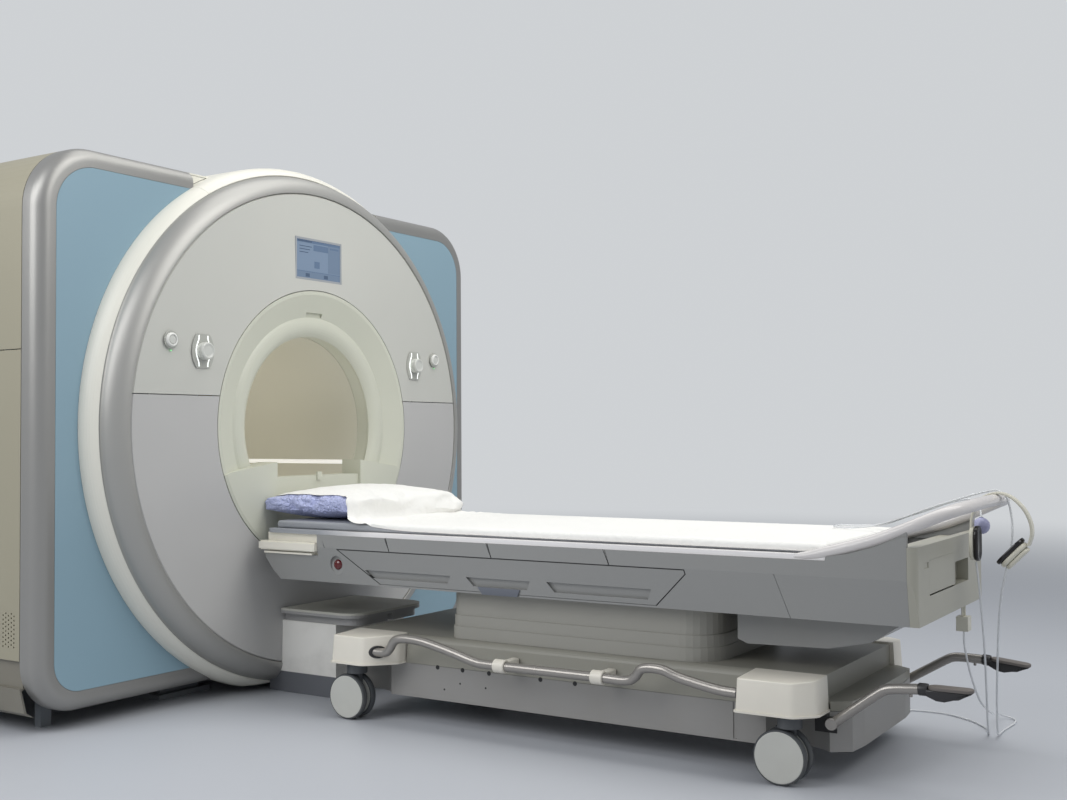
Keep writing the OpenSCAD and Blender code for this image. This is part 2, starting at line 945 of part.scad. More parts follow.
seam_x = 2851;
grab_low = table_z - 74;
grab_high = table_z - 42;
grab_x1 = 1186;
module table_body() {
    color("#d0d0cd")
        difference() {
            union() {
                difference() {
                    intersection() {
                        upright(table_x0, foot_x - table_x0)
                            table_section(0);
                        sideways(-far, 2 * far)
                            table_profile();
                    }
                    upright(table_x0 + 10, foot_x - table_x0)
                        table_section(2 * table_wall);
                }
                // Cup behind the release button
                sideways(-button_face + 6, 34)
                    translate([button_x, button_z])
                        circle(d = button_d + 36, $fn = small_fn);
            }
            intersection() {
                table_layer(-1, table_wall - 1);
                sideways(-far, 2 * far)
                    union() {
                        access_outline(0);
                        for (i = [0:2])
                            strip_outline(i);
                        polygon([
                            [strip_cuts[0], table_z], [strip_cuts[3] + joint_w, table_z],
                            [strip_cuts[3] + 20 + joint_w, strip_low], [strip_cuts[0] + 20, strip_low]
                        ]);
                    }
            }
            // Slanted seam near the foot end
            intersection() {
                table_layer(-1, 1.5);
                sideways(-far, 2 * far)
                    polygon([
                        [seam_x, strip_low], [seam_x + 2, strip_low], [seam_x + 41, table_low - 1],
                        [seam_x + 39, table_low - 1]
                    ]);
            }
            // Hand slots go on into the wall behind the panels
            intersection() {
                table_layer(-1, 2 * table_wall - 1);
                sideways(-far, 2 * far)
                    panel_slots();
            }
            // Recess for the grab handles at the gantry end
            for (side = [-1, 1])
                box(
                    [table_x0 - 1, side > 0 ? table_y - 22 : -table_y - 1, grab_low - 12],
                    [grab_x1, side > 0 ? table_y + 1 : -table_y + 22, table_z - top_t + 1]
                );
            // Way through the bottom for the lift
            box([shell_x0 + 60, -shell_y + 60, table_low - 5], [shell_x1 - 60, shell_y - 60, table_low + 30]);
            sideways(-far, far)
                translate([button_x, button_z])
                    circle(d = button_d + 0.1, $fn = small_fn);
            sideways(-far, far - button_face + 6)
                translate([button_x, button_z])
                    circle(d = button_d + 24, $fn = small_fn);
        }
}

grab_back = table_y - 17;
module grab_handles() {
    color("#dfddce")
        both_sides()
            union() {
                box(
                    [table_x0 + 5, grab_back - 4.6, grab_low - 11.6],
                    [grab_x1 - gap, grab_back, table_z - top_t - gap]
                );
                box([table_x0 - 12, grab_back, grab_low + 4], [grab_x1 - gap, table_y + 14, grab_high - 4]);
                box([table_x0 - 8, grab_back, grab_low], [grab_x1 - 4, table_y + 8, grab_high]);
                box(
                    [table_x0 + 5, grab_back, grab_low - 11.6],
                    [grab_x1 - 20, table_y + 4, grab_low - 5]
                );
            }
}

button_x = 1268;
button_z = 502;
button_d = 36;
button_face = table_y - side_lean * (strip_low - button_z) / (strip_low - table_low);
module release_button() {
    color("#b01818")
        translate([button_x, -button_face, button_z])
            rotate([-90, 0, 0])
                rotate_extrude($fn = small_fn)
                    polygon([[0, -4], [8, -3], [14, 0], [button_d / 2, 5], [button_d / 2, 34], [0, 34]]);
}

module tabletop() {
    color("#70757c")
        union() {
            translate([0, 0, table_z - top_t + gap / 2])
                linear_extrude(height = top_t - gap / 2)
                    polygon(concat(
                        arc([table_x0 + 35, -table_y + 34], 30, 180, 270),
                        [[top_x1, -table_y + 4], [top_x1, table_y - 4]],
                        arc([table_x0 + 35, table_y - 34], 30, 90, 180)
                    ));
            // Ribs under the top rest on the body's inner ledges
            for (side = [-1, 1])
                box(
                    [table_x0 + 60, side * 330 - 12, table_z - top_t - 30],
                    [top_x1 - 36, side * 330 + 12, table_z - top_t + gap]
                );
        }
}

mattress_x0 = 960;
mattress_x1 = 2990;
module mattress() {
    color("white")
        translate([0, 0, table_z + 0.3])
            linear_extrude(height = mattress_t)
                polygon(concat(
                    arc([mattress_x1 - 40, -290], 40, -90, 0),
                    arc([mattress_x1 - 40, 290], 40, 0, 90),
                    arc([mattress_x0 + 40, 290], 40, 90, 180),
                    arc([mattress_x0 + 40, -290], 40, 180, 270)
                ));
}

module bow_handle() {
    color("#d9d8d6")
        swept(
            smoothed(concat(bow_route, [for (i = [8:-1:0]) [bow_route[i][0], -bow_route[i][1], bow_route[i][2]]]), 3),
            bow_r,
            16
        );
}

// Foot end: a moulded box between the side walls with a flap and a pocket
end_inset = 2 * table_wall + gap;
end_r = 24;
spigot_top = table_z + 10;
flap_y0 = -240;
flap_y1 = 30;
flap_low = 514;
flap_high = 604;
flap_t = 5;
// Width of the round room in which the flap's lower edge swings
flap_swing_d = 23;
module end_plan(t) {
    polygon(concat(
        [[foot_x + gap, -table_y]],
        arc([table_x1 - end_r, -table_y + end_r], end_r - t, -90, 0),
        arc([table_x1 - end_r, table_y - end_r], end_r - t, 0, 90),
        [[foot_x + gap, table_y]]
    ));
}

module end_shape(t) {
    intersection() {
        linear_extrude(height = foot_top - t)
            end_plan(t);
        upright(foot_x, far)
            table_section(t);
    }
    // Spigot inside the table's walls
    intersection() {
        upright(foot_x - 95, 105 - t)
            table_section(end_inset + t);
        box([0, -far, 0], [far, far, spigot_top - t]);
    }
}

module end_cover() {
    color("#dcdbd0")
        difference() {
            end_shape(0);
            difference() {
                translate([-1, 0, 0])
                    end_shape(5);
                box([table_x1 - 40, flap_y0 - 8, flap_low - 12], [table_x1, 196, flap_high + 8]);
            }
            // Seat of the flap, and the pocket beside it
            box(
                [table_x1 - flap_t - gap, flap_y0 - gap, flap_low - gap],
                [table_x1 + 1, flap_y1 + gap, flap_high + gap]
            );
            box([table_x1 - 34, flap_y1 + gap, flap_low - 4], [table_x1 + 1, 184, 576]);
            // Shallow slot near the corner
            box([table_x1 - 2, -295, 586], [table_x1 + 1, -251, 601]);
            flap_pin(4.1, 13);
            flap_pin(flap_swing_d, 2 * gap);
        }
}

// Pin of the flap, longer than the flap by an amount
module flap_pin(d, longer) {
    translate([table_x1 - 8, (flap_y0 + flap_y1) / 2, flap_low + 4])
        rotate([90, 0, 0])
            cylinder(d = d, h = flap_y1 - flap_y0 + longer, center = true, $fn = 24);
}

module end_flap() {
    color("#dad9d0")
        union() {
            box([table_x1 - flap_t, flap_y0, flap_low], [table_x1, flap_y1, flap_high]);
            // Knuckle and pin behind the lower edge
            flap_pin(4, 12);
            box(
                [table_x1 - 9, flap_y0 + 20, flap_low + 1],
                [table_x1 - flap_t + 1, flap_y1 - 20, flap_low + 7]
            );
        }
}

// Housing of the table's drive, hung under its foot half
drive_x0 = 2690;
drive_x1 = table_x1 - 50;
drive_y = 240;
drive_low = 340;
drive_wall = 8;
module drive_outline(t) {
    polygon([
        [drive_x0 + t, table_low + (t > 0 ? 1 : 0)], [drive_x0 + t, drive_low + 12 + 0.75 * t],
        [drive_x0 + 30 + t / 2, drive_low + t], [drive_x1 - 230, drive_low + 6 + t],
        [drive_x1 - 110 - t / 2, drive_low + 32 + t], [drive_x1 - 20 - t, table_low - 8 + t],
        [drive_x1 - 4 * t, table_low + (t > 0 ? 1 : 0)]
    ]);
}

module under_cover() {
    color("#cfcfca")
        difference() {
            sideways(-drive_y, 2 * drive_y)
                drive_outline(0);
            sideways(-drive_y + drive_wall, 2 * (drive_y - drive_wall))
                drive_outline(drive_wall);
        }
}

// Lift: three nested shells round two telescoping columns
shell_x0 = 1693;
shell_x1 = 2640;
shell_r = 110;
shell_wall = 4;
shell_step = shell_wall + 0.05;
module shell_outline(t) {
    polygon(concat(
        arc([shell_x1 - shell_r, -shell_y + shell_r], shell_r - t, -90, 0),
        arc([shell_x1 - shell_r, shell_y - shell_r], shell_r - t, 0, 90),
        arc([shell_x0 + shell_r / 2, shell_y - shell_r / 2], shell_r / 2 - t, 90, 180),
        arc([shell_x0 + shell_r / 2, -shell_y + shell_r / 2], shell_r / 2 - t, 180, 270)
    ));
}

module shell_tube(low, high, t) {
    translate([0, 0, low])
        linear_extrude(height = high - low)
            difference() {
                shell_outline(t);
                shell_outline(t + shell_wall);
            }
}

module lift_shell_lower() {
    color("#c9c7bb")
        shell_tube(deck_z, deck_z + 40, 0);
}

module lift_shell_middle() {
    color("#cbc9be")
        shell_tube(base_low + 26, deck_z + 76, shell_step);
}

module lift_shell_upper() {
    color("#cdccc2")
        difference() {
            translate([0, 0, base_low + 20])
                linear_extrude(height = table_low - base_low - 20)
                    shell_outline(2 * shell_step);
            translate([0, 0, base_low + 19])
                linear_extrude(height = table_low - base_low - 31)
                    shell_outline(2 * shell_step + shell_wall);
            box([shell_x0 + 80, -shell_y + 70, 0], [shell_x1 - 80, shell_y - 70, far]);
        }
}

column_x = [1900, 2420];
column_r = 70;
module lift_columns() {
    color("#8b8f94")
        for (x = column_x)
            translate([x, 0, 100])
                difference() {
                    cylinder(r = column_r, h = table_low - 140, $fn = 72);
                    translate([0, 0, 8])
                        cylinder(r = column_r - 8, h = far, $fn = 72);
                }
}

module lift_posts() {
    color("#a9adb2")
        for (x = column_x)
            union() {
                translate([x, 0, 112])
                    cylinder(r = column_r - 8.05, h = table_low - 112, $fn = 72);
                box([x - 110, -215, table_low - 12], [x + 110, 215, table_low]);
            }
}

// Trolley: skirt frame, deck cover, castors under their covers, side rails and pedals
module trolley_plan(t) {
    polygon([
        [base_x0 + t, -base_y + 60 + t], [base_x0 + 60, -base_y + t], [base_x1 - 78, -base_y + t],
        [base_x1 - 8, -base_y + 50 + t], [base_x1 - t, -base_y + 130], [base_x1 - t, base_y - 130],
        [base_x1 - 8, base_y - 50 - t], [base_x1 - 78, base_y - t], [base_x0 + 60, base_y - t],
        [base_x0 + t, base_y - 60 - t]
    ]);
}

pedal_x = 3000;
pedal_z = 162;
pedal_shaft_d = 20.1;
stem_d = 24;
arm_w = 92;
skirt_seam_x = 2711;

module trolley_base() {
    color("#c6c8c6")
        difference() {
            union() {
                difference() {
                    translate([0, 0, base_low])
                        linear_extrude(height = skirt_z - base_low)
                            trolley_plan(0);
                    translate([0, 0, base_low + 20])
                        linear_extrude(height = far)
                            difference() {
                                trolley_plan(8);
                                translate([castor_x0, 0])
                                    square([240, far], center = true);
                                translate([castor_x1, 0])
                                    square([240, far], center = true);
                            }
                }
                // Arms that carry the castors
                for (x = [castor_x0, castor_x1])
                    box(
                        [x + castor_trail - arm_w / 2, -castor_y - 30, skirt_z - 4],
                        [x + castor_trail + arm_w / 2, castor_y + 30, skirt_z + 16]
                    );
            }
            castor_sweep();
            for (x = [castor_x0, castor_x1], side = [-1, 1])
                translate([x + castor_trail, side * castor_y, 0])
                    cylinder(d = stem_d, h = far, $fn = small_fn);
            translate([pedal_x, 0, pedal_z])
                rotate([90, 0, 0])
                    cylinder(d = pedal_shaft_d, h = 2 * base_y, center = true, $fn = small_fn);
            box([base_x0 + 130, -50, base_low - 1], [base_x0 + 420, 50, base_low + 21]);
            // Open seam between the skirt's long part and its foot end
            both_sides()
                box([skirt_seam_x, base_y - 3, base_low + 6], [skirt_seam_x + 12, far, skirt_z - 1]);
        }
}

castor_r = 104;
castor_trail = 20;
module castor_sweep() {
    for (x = [castor_x0, castor_x1], side = [-1, 1])
        translate([x + castor_trail, side * castor_y, -1])
            cylinder(r = castor_r + 10, h = skirt_z - 3, $fn = 72);
}

step_x = 2968;
step_z = 216;
module deck_section() {
    r = 26;
    polygon(concat(
        [[-base_y, skirt_z + 1]],
        [[base_y, skirt_z + 1]],
        arc([base_y - 8 - r, deck_z - r], r, 0, 90, 6),
        arc([-base_y + 8 + r, deck_z - r], r, 90, 180, 6)
    ));
}

module deck_cover() {
    color("#c4c1b2")
        difference() {
            union() {
                upright(base_x0 + 6, step_x - base_x0 - 6)
                    deck_section();
                intersection() {
                    translate([0, 0, skirt_z + 1])
                        linear_extrude(height = step_z - skirt_z - 1)
                            trolley_plan(1);
                    box([step_x - 20, -far, 0], [far, far, far]);
                }
            }
            translate([0, 0, skirt_z])
                linear_extrude(height = 20)
                    trolley_plan(8);
            upright(base_x0 + 12, step_x - base_x0 - 18)
                polygon([
                    [-base_y + 14, skirt_z], [base_y - 14, skirt_z], [base_y - 20, deck_z - 20],
                    [base_y - 34, deck_z - 6], [-base_y + 34, deck_z - 6], [-base_y + 20, deck_z - 20]
                ]);
            translate([0, 0, skirt_z + 10])
                linear_extrude(height = far)
                    shell_outline(shell_step - 2);
            for (x = [castor_x0, castor_x1])
                box(
                    [x + castor_trail - arm_w / 2 - 1, -far, 0],
                    [x + castor_trail + arm_w / 2 + 1, far, skirt_z + 16.5]
                );
            castor_cover_room();
        }
}

// Castor cover: a bevelled cap with a flared lip, open on the side of the deck
cover_low = 189;
cover_high = 286;
cover_x = [1322, 2767];
cover_out = 450;
cover_l = 216;
function cover_plan(x, g) = [
    [x - g, -base_y + 20], [x - g, -cover_out - g], [x + 140 + g / 2, -cover_out - g],
    [x + cover_l + g, -cover_out + 90 - g / 2], [x + cover_l + g, -base_y + 20]
];

module castor_cover_room() {
    both_sides()
        for (x = cover_x)
            box([x - 6, -base_y - 60, skirt_z - 1], [x + cover_l + 6, -base_y + 20.4, far]);
}

module castor_cover(x, wheel_x) {
    difference() {
        union() {
            hull() {
                translate([0, 0, cover_low + 8])
                    linear_extrude(height = 1)
                        polygon(cover_plan(x, 0));
                translate([0, 0, cover_high - 6])
                    linear_extrude(height = 6)
                        polygon(cover_plan(x, -10));
            }
            translate([0, 0, cover_low])
                linear_extrude(height = 9)
                    polygon(cover_plan(x, 5));
        }
        translate([0, 0, cover_low - 1])
            linear_extrude(height = cover_high - cover_low - 5)
                polygon(cover_plan(x, -16));
        box(
            [wheel_x + castor_trail - arm_w / 2 - 1, -castor_y - 36, cover_low - 2],
            [wheel_x + castor_trail + arm_w / 2 + 1, 0, cover_low + 24]
        );
        translate([0, -rail_y, rail_low_z])
            rotate([0, 90, 0])
                cylinder(d = rail_d + 6, h = 2 * far, center = true, $fn = small_fn);
    }
}

module castor_covers() {
    color("#e2e1da")
        both_sides() {
            castor_cover(cover_x[0], castor_x0);
            castor_cover(cover_x[1], castor_x1);
        }
}

// Side rails: bent tube held by two clamps a side
rail_low_z = 232;
rail_route = [
    [1492, rail_low_z], [1545, rail_low_z], [1590, 240], [1608, 262], [1635, 281], [1680, 280],
    [1790, 258], [1880, 236], [1940, rail_low_z], [2130, rail_low_z], [2330, rail_low_z],
    [2415, rail_low_z], [2445, 246], [2470, 272], [2530, 274], [2590, 256], [2700, 236], [2770, rail_low_z]
];
clamp_x = [1978, 2323];
module side_rails() {
    color("#8f9295")
        both_sides()
            union() {
                swept([for (p = smoothed(rail_route, 2)) [p[0], -rail_y, p[1]]], rail_d / 2, 14);
                for (x = clamp_x)
                    difference() {
                        union() {
                            translate([x - 22, -rail_y, rail_low_z])
                                rotate([0, 90, 0])
                                    cylinder(d = rail_d + 14, h = 44, $fn = small_fn);
                            box([x - 22, -rail_y, rail_low_z - 20], [x + 22, -base_y + 12, rail_low_z + 20]);
                        }
                        upright(0, far)
                            deck_section();
                    }
            }
}

// Castor: a swivelling fork with a twin wheel
axle_d = 12;
tread_w = 24;
wheel_gap = 20;
module castor_fork(x, y) {
    fork_y = wheel_gap / 2 - 1;
    color("#55585c")
        translate([x, y, 0])
            union() {
                difference() {
                    union() {
                        translate([castor_trail, 0, wheel_d + 3])
                            cylinder(r = 34, h = skirt_z - 4.4 - wheel_d - 3, $fn = small_fn);
                        box([-18, -fork_y, wheel_d / 2 - 14], [castor_trail + 16, fork_y, wheel_d + 4]);
                    }
                    translate([0, 0, wheel_d / 2])
                        rotate([90, 0, 0])
                            cylinder(d = axle_d + 0.1, h = 100, center = true, $fn = small_fn);
                }
                translate([castor_trail, 0, skirt_z - 5])
                    cylinder(d = stem_d - 0.1, h = 26, $fn = small_fn);
            }
}

module castor_wheel(x, y) {
    color("#3c3d40")
        translate([x, y, wheel_d / 2])
            rotate([90, 0, 0])
                union() {
                    cylinder(d = axle_d, h = wheel_gap + 2 * tread_w, center = true, $fn = small_fn);
                    for (side = [-1, 1])
                        translate([0, 0, side * (wheel_gap / 2 + tread_w / 2)])
                            rotate_extrude($fn = 96)
                                polygon(concat(
                                    [[0, -tread_w / 2]],
                                    arc([wheel_d / 2 - 7, -tread_w / 2 + 7], 7, -90, 0, 4),
                                    arc([wheel_d / 2 - 7, tread_w / 2 - 7], 7, 0, 90, 4),
                                    [[0, tread_w / 2]]
                                ));
                }
}

module castor_fork_1() {
    castor_fork(castor_x0, -castor_y);
}

module castor_fork_2() {
    castor_fork(castor_x0, castor_y);
}

module castor_fork_3() {
    castor_fork(castor_x1, -castor_y);
}

module castor_fork_4() {
    castor_fork(castor_x1, castor_y);
}

module castor_wheel_1() {
    castor_wheel(castor_x0, -castor_y);
}

module castor_wheel_2() {
    castor_wheel(castor_x0, castor_y);
}

module castor_wheel_3() {
    castor_wheel(castor_x1, -castor_y);
}

module castor_wheel_4() {
    castor_wheel(castor_x1, castor_y);
}

// Foot pedals: a cranked tube on a pivot in the base, with a flat grip
pedal_route = [[0, 0], [30, 22], [80, 60], [120, 90], [146, 106], [180, 112], [258, 118]];
pedal_y = 332;
grip_x = 258;
grip_z = 118;
// The pedal is drawn about its pivot and pressed down by an angle
module pedal(pressed) {
    translate([pedal_x, -pedal_y, pedal_z])
        rotate([0, pressed, 0])
            union() {
                swept([for (p = smoothed(pedal_route, 2)) [p[0], 0, p[1]]], 14, 14);
                hull() {
                    translate([grip_x - 2, 0, grip_z])
                        rotate([0, 90, 0])
                            cylinder(r = 17, h = 10, $fn = 32);
                    translate([grip_x + 40, -22, grip_z - 10])
                        cube([40, 44, 20]);
                    translate([grip_x + 108, -20, grip_z + 4])
                        cube([10, 40, 12]);
                }
                translate([0, 13, 0])
                    rotate([90, 0, 0])
                        cylinder(r = 17, h = 27, $fn = small_fn);
                translate([0, 80, 0])
                    rotate([90, 0, 0])
                        cylinder(d = pedal_shaft_d - 0.1, h = 80, $fn = small_fn);
            }
}

module pedal_left() {
    color("#6a6d70")
        pedal(0);
}

module pedal_right() {
    color("#6a6d70")
        mirror([0, 1, 0])
            pedal(6);
}

// Soft goods: pillow, and the sheet that lies over it and along the mattress
soft_gap = 0.3;
bed_z = table_z + mattress_t + 2 * soft_gap;
pillow_h = 118;
pillow_x = 1078;
pillow_l = 390;
pillow_w = 586;
module pillow() {
    side_r = 48;
    color("#8c9bd0")
        translate([pillow_x, 0, bed_z])
            hull()
                for (x = [-1, 1], y = [-1, 1]) {
                    translate([x * (pillow_l / 2 - side_r + 3), y * (pillow_w / 2 - side_r + 1), side_r])
                        sphere(r = side_r, $fn = 24);
                    translate([x * 90, y * 170, pillow_h - 20])
                        cylinder(r = 30, h = 20, $fn = 24);
                }
}

sheet_y = 306;
sheet_x1 = mattress_x1 - 20;
// The sheet's section: the heap over the pillow, its fall on the bed, and its flat length
module bed_sheet() {
    heap = bed_z + pillow_h + 6;
    color("white")
        sideways(-sheet_y, 2 * sheet_y)
            polygon([
                [pillow_x - 178, heap - 32], [pillow_x - 118, heap], [pillow_x + 112, heap],
                [pillow_x + 192, bed_z + 86], [pillow_x + 252, bed_z + 4], [sheet_x1, bed_z],
                [sheet_x1, bed_z + 5], [pillow_x + 422, bed_z + 12], [pillow_x + 342, bed_z + 40],
                [pillow_x + 222, bed_z + 96], [pillow_x + 122, heap + 8], [pillow_x - 128, heap + 8],
                [pillow_x - 188, heap - 24]
            ]);
}

// Headset hung over the bow handle, with its ear cups and the squeeze ball
headset_y = 70;
band_route = [
    [3280, 650], [3281, 700], [3301, 750], [3343, 771.9], [3385, 763], [3420, 730], [3440, 692],
    [3443, 658], [3434, 628]
];
function ribbon_side(p, t) = [for (i = [0:len(p) - 1])
    let (w = unit(p[min(i + 1, len(p) - 1)] - p[max(i - 1, 0)])) p[i] + t * [-w[1], w[0]]];
function turned(p) = [for (i = [len(p) - 1:-1:0]) p[i]];

module ear_cup(pad_t, shell_t) {
    for (k = [0, 1])
        hull()
            for (z = [-22, 22])
                translate([k * pad_t, 0, z])
                    rotate([0, 90, 0])
                        cylinder(r = 29 - 3 * k, h = k == 0 ? pad_t : shell_t, $fn = 32);
}

module headset() {
    color("#d9d8d0")
        union() {
            sideways(headset_y - 13, 26)
                polygon(concat(
                    ribbon_side(smoothed(band_route, 3), 2.5),
                    turned(ribbon_side(smoothed(band_route, 3), -2.5))
                ));
            translate([3302, headset_y, 628])
                mirror([1, 0, 0])
                    ear_cup(16, 12);
            translate([3378, headset_y, 614.6])
                rotate([0, 44, 0])
                    ear_cup(14, 34);
            translate([3292, 128, 674])
                sphere(r = 24, $fn = 32);
        }
}

// Small junction box on three short leads under the foot end
box_x = 3228;
box_y = 170;
module lead_box() {
    color("#c9cac6")
        union() {
            box([box_x - 17, box_y - 21, 362], [box_x + 17, box_y + 21, 404]);
            for (y = [-16, 0, 16])
                translate([box_x, box_y + y, 403])
                    cylinder(d = 5, h = table_low - soft_gap - 403, $fn = 16);
        }
}

// Air tubes: one from the ear cup along the floor, one from the ball over the bed and handle
tube_d = 6;
cup_tube_route = [
    [3288, 74, 574], [3292, 90, 500], [3290, 150, 330], [3266, 280, 140], [3252, 350, 58],
    [3244, 396, 20], [3236, 432, 6], [3225, 480, 4], [3203, 532, 4], [3139, 607, 4], [3044, 664, 4],
    [2940, 660, 4], [2884, 626, 5], [2858, 584, 24], [2852, 540, 80], [2862, 500, 190],
    [2884, 470, 300], [2924, 366, 378], [2945, 310, 412], [2945, 310, table_low - soft_gap]
];
ball_tube_route = [
    [3292, 128, 698.4], [3283, 144, 726], [3256, 152, 748], [3199, 152, 738], [3126, 152, 711],
    [3066, 160, 691], [2990, 200, 664], [2910, 262, 653], [2840, 250, 652], [2830, 200, 652],
    [2890, 160, 652], [2980, 130, 664], [3066, 116, 690], [3160, 108, 726], [3256, 104, 758],
    [3320, 103, 776], [3348, 106, 775], [3372, 108, 745], [3380, 108, 640], [3344, 112, 450],
    [3302, 250, 190], [3284, 330, 86], [3272, 390, 28], [3265, 440, 8], [3262, 520, 4],
    [3270, 620, 4], [3268, 672, 4], [3252, 704, 5], [3226, 696, 12], [3218, 650, 26],
    [3224, 560, 44], [3236, 440, 76], [3234, 330, 130], [3230, 240, 220], [3228, 180, 310],
    [box_x, box_y, 361]
];
module air_tube() {
    color("#cfd6dd")
        union() {
            swept(smoothed(cup_tube_route, 2), tube_d / 2, 8);
            swept(smoothed(ball_tube_route, 2), tube_d / 2, 8);
        }
}

front_cover_upper();
front_cover_lower();
front_ring();
drum_bands();
top_cover();
entry_funnel();
bore_liner();
front_panels();
panel_trims();
side_covers();
base_skirt();
rear_cover();
magnet_vessel();
gradient_coil();
body_coil();
magnet_feet();
cover_frame();
display();
knob_plates();
knob_left();
knob_right();
stop_button_left();
stop_button_right();
bore_lights();
dock_box();
dock_cap();
table_body();
side_panels();
tabletop();
mattress();
bow_handle();
end_cover();
end_flap();
release_button();
grab_handles();
under_cover();
lift_shell_upper();
lift_shell_middle();
lift_shell_lower();
lift_columns();
lift_posts();
trolley_base();
deck_cover();
castor_covers();
side_rails();
castor_fork_1();
castor_fork_2();
castor_fork_3();
castor_fork_4();
castor_wheel_1();
castor_wheel_2();
castor_wheel_3();
castor_wheel_4();
pedal_left();
pedal_right();
pillow();
bed_sheet();
headset();
lead_box();
air_tube();
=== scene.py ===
import math

import bmesh
import bpy
from mathutils import Matrix, Vector, noise


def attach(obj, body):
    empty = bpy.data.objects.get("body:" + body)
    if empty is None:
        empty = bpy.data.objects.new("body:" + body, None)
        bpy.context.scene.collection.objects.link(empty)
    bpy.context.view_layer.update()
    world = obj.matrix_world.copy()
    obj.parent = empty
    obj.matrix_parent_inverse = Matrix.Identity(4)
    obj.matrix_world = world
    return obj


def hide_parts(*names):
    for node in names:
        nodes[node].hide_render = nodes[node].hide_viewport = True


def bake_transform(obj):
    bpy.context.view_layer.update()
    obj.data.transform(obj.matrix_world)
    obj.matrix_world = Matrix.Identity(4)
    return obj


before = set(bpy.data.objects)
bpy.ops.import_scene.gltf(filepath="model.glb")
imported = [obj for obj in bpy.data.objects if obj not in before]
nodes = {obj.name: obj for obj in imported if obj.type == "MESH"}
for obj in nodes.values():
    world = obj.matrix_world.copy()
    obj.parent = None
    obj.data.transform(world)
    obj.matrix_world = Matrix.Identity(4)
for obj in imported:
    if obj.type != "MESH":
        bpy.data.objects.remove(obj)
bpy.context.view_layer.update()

# Camera
# The photograph is taken from the patient's right, at chest height, three metres from the table's
# foot end. The place, the turn and the lens come from the circles of the scanner's front.
camera_place = Vector((4.13105, -3.60918, 0.94516))
camera_yaw = math.radians(32.38)
camera_pitch = math.radians(1.58)
camera_roll = math.radians(-0.31)
focal_px = 1244.21
photo_width_px = 1067
sensor_mm = 36


def shown(name, data):
    """Puts a camera, a lamp, a curve or a mesh into the scene."""
    thing = bpy.data.objects.new(name, data)
    bpy.context.scene.collection.objects.link(thing)
    return thing


lens = bpy.data.cameras.new("photo_camera")
lens.sensor_width = sensor_mm
lens.lens = focal_px * sensor_mm / photo_width_px
lens.clip_end = 100
camera = shown("photo_camera", lens)
camera.matrix_world = (Matrix.Translation(camera_place)
                       @ Matrix.Rotation(camera_yaw, 4, "Z")
                       @ Matrix.Rotation(math.radians(90) + camera_pitch, 4, "X")
                       @ Matrix.Rotation(camera_roll, 4, "Z"))
bpy.context.scene.camera = camera

# Air tubes
# Two lengths of clear soft tube, 6 mm across. One runs from the ear cup down to the floor and behind
# the trolley, the other from the squeeze ball over the bed and the handle to the junction box.
tube_d = 0.006
cup_tube_route = [
    (3288, 74, 574), (3292, 90, 500), (3290, 150, 330), (3266, 280, 140), (3252, 350, 58), (3244, 396, 20),
    (3236, 432, 6), (3225, 480, 4), (3203, 532, 4), (3139, 607, 4), (3044, 664, 4), (2940, 660, 4),
    (2884, 626, 5), (2858, 584, 24), (2852, 540, 80), (2862, 500, 190), (2884, 470, 300), (2924, 366, 378),
    (2945, 310, 412), (2945, 310, 437.7),
]
ball_tube_route = [
    (3292, 128, 698.4), (3283, 144, 726), (3256, 152, 748), (3199, 152, 738), (3126, 152, 711),
    (3066, 160, 691), (2990, 200, 664), (2910, 262, 653), (2840, 250, 652), (2830, 200, 652),
    (2890, 160, 652), (2980, 130, 664), (3066, 116, 690), (3160, 108, 726), (3256, 104, 758),
    (3320, 103, 776), (3348, 106, 775), (3372, 108, 745), (3380, 108, 640), (3344, 112, 450),
    (3302, 250, 190), (3284, 330, 86), (3272, 390, 28), (3265, 440, 8), (3262, 520, 4), (3270, 620, 4),
    (3268, 672, 4), (3252, 704, 5), (3226, 696, 12), (3218, 650, 26), (3224, 560, 44), (3236, 440, 76),
    (3234, 330, 130), (3230, 240, 220), (3228, 180, 310), (3228, 170, 361),
]


def smooth_route(points, steps):
    """Points in metres on a smooth curve through given points in millimetres."""
    p = [Vector(q) / 1000 for q in points]
    route = []
    for i in range(len(p) - 1):
        a, b, c, d = p[max(i - 1, 0)], p[i], p[i + 1], p[min(i + 2, len(p) - 1)]
        for k in range(steps):
            t = k / steps
            route.append(0.5 * (2 * b + (c - a) * t + (2 * a - 5 * b + 4 * c - d) * t * t
                                + (3 * b - a - 3 * c + d) * t * t * t))
    route.append(p[-1])
    return route


def tube_curve(name, route, diameter, roundness=4):
    """A curve object of one open spline with a round section."""
    curve = bpy.data.curves.new(name, "CURVE")
    curve.dimensions = "3D"
    curve.bevel_depth = diameter / 2
    curve.bevel_resolution = roundness
    curve.use_fill_caps = True
    spline = curve.splines.new("POLY")
    spline.points.add(len(route) - 1)
    for point, place in zip(spline.points, route):
        point.co = (*place, 1)
    spline.use_smooth = True
    return shown(name, curve)


def meshed(tube):
    """A curve object turned into a mesh object of the same name."""
    graph = bpy.context.evaluated_depsgraph_get()
    mesh = bpy.data.meshes.new_from_object(tube.evaluated_get(graph))
    name = tube.name
    bpy.data.objects.remove(tube)
    mesh.shade_smooth()
    return shown(name, mesh)


def new_material(name, colour, roughness, metallic=0.0):
    """A material with one Principled shader, its node tree and the shader's inputs."""
    material = bpy.data.materials.new(name)
    material.use_nodes = True
    tree = material.node_tree
    inputs = tree.nodes["Principled BSDF"].inputs
    inputs["Base Color"].default_value = (*colour, 1)
    inputs["Roughness"].default_value = roughness
    inputs["Metallic"].default_value = metallic
    material.diffuse_color = (*colour, 1)
    return material, tree, inputs


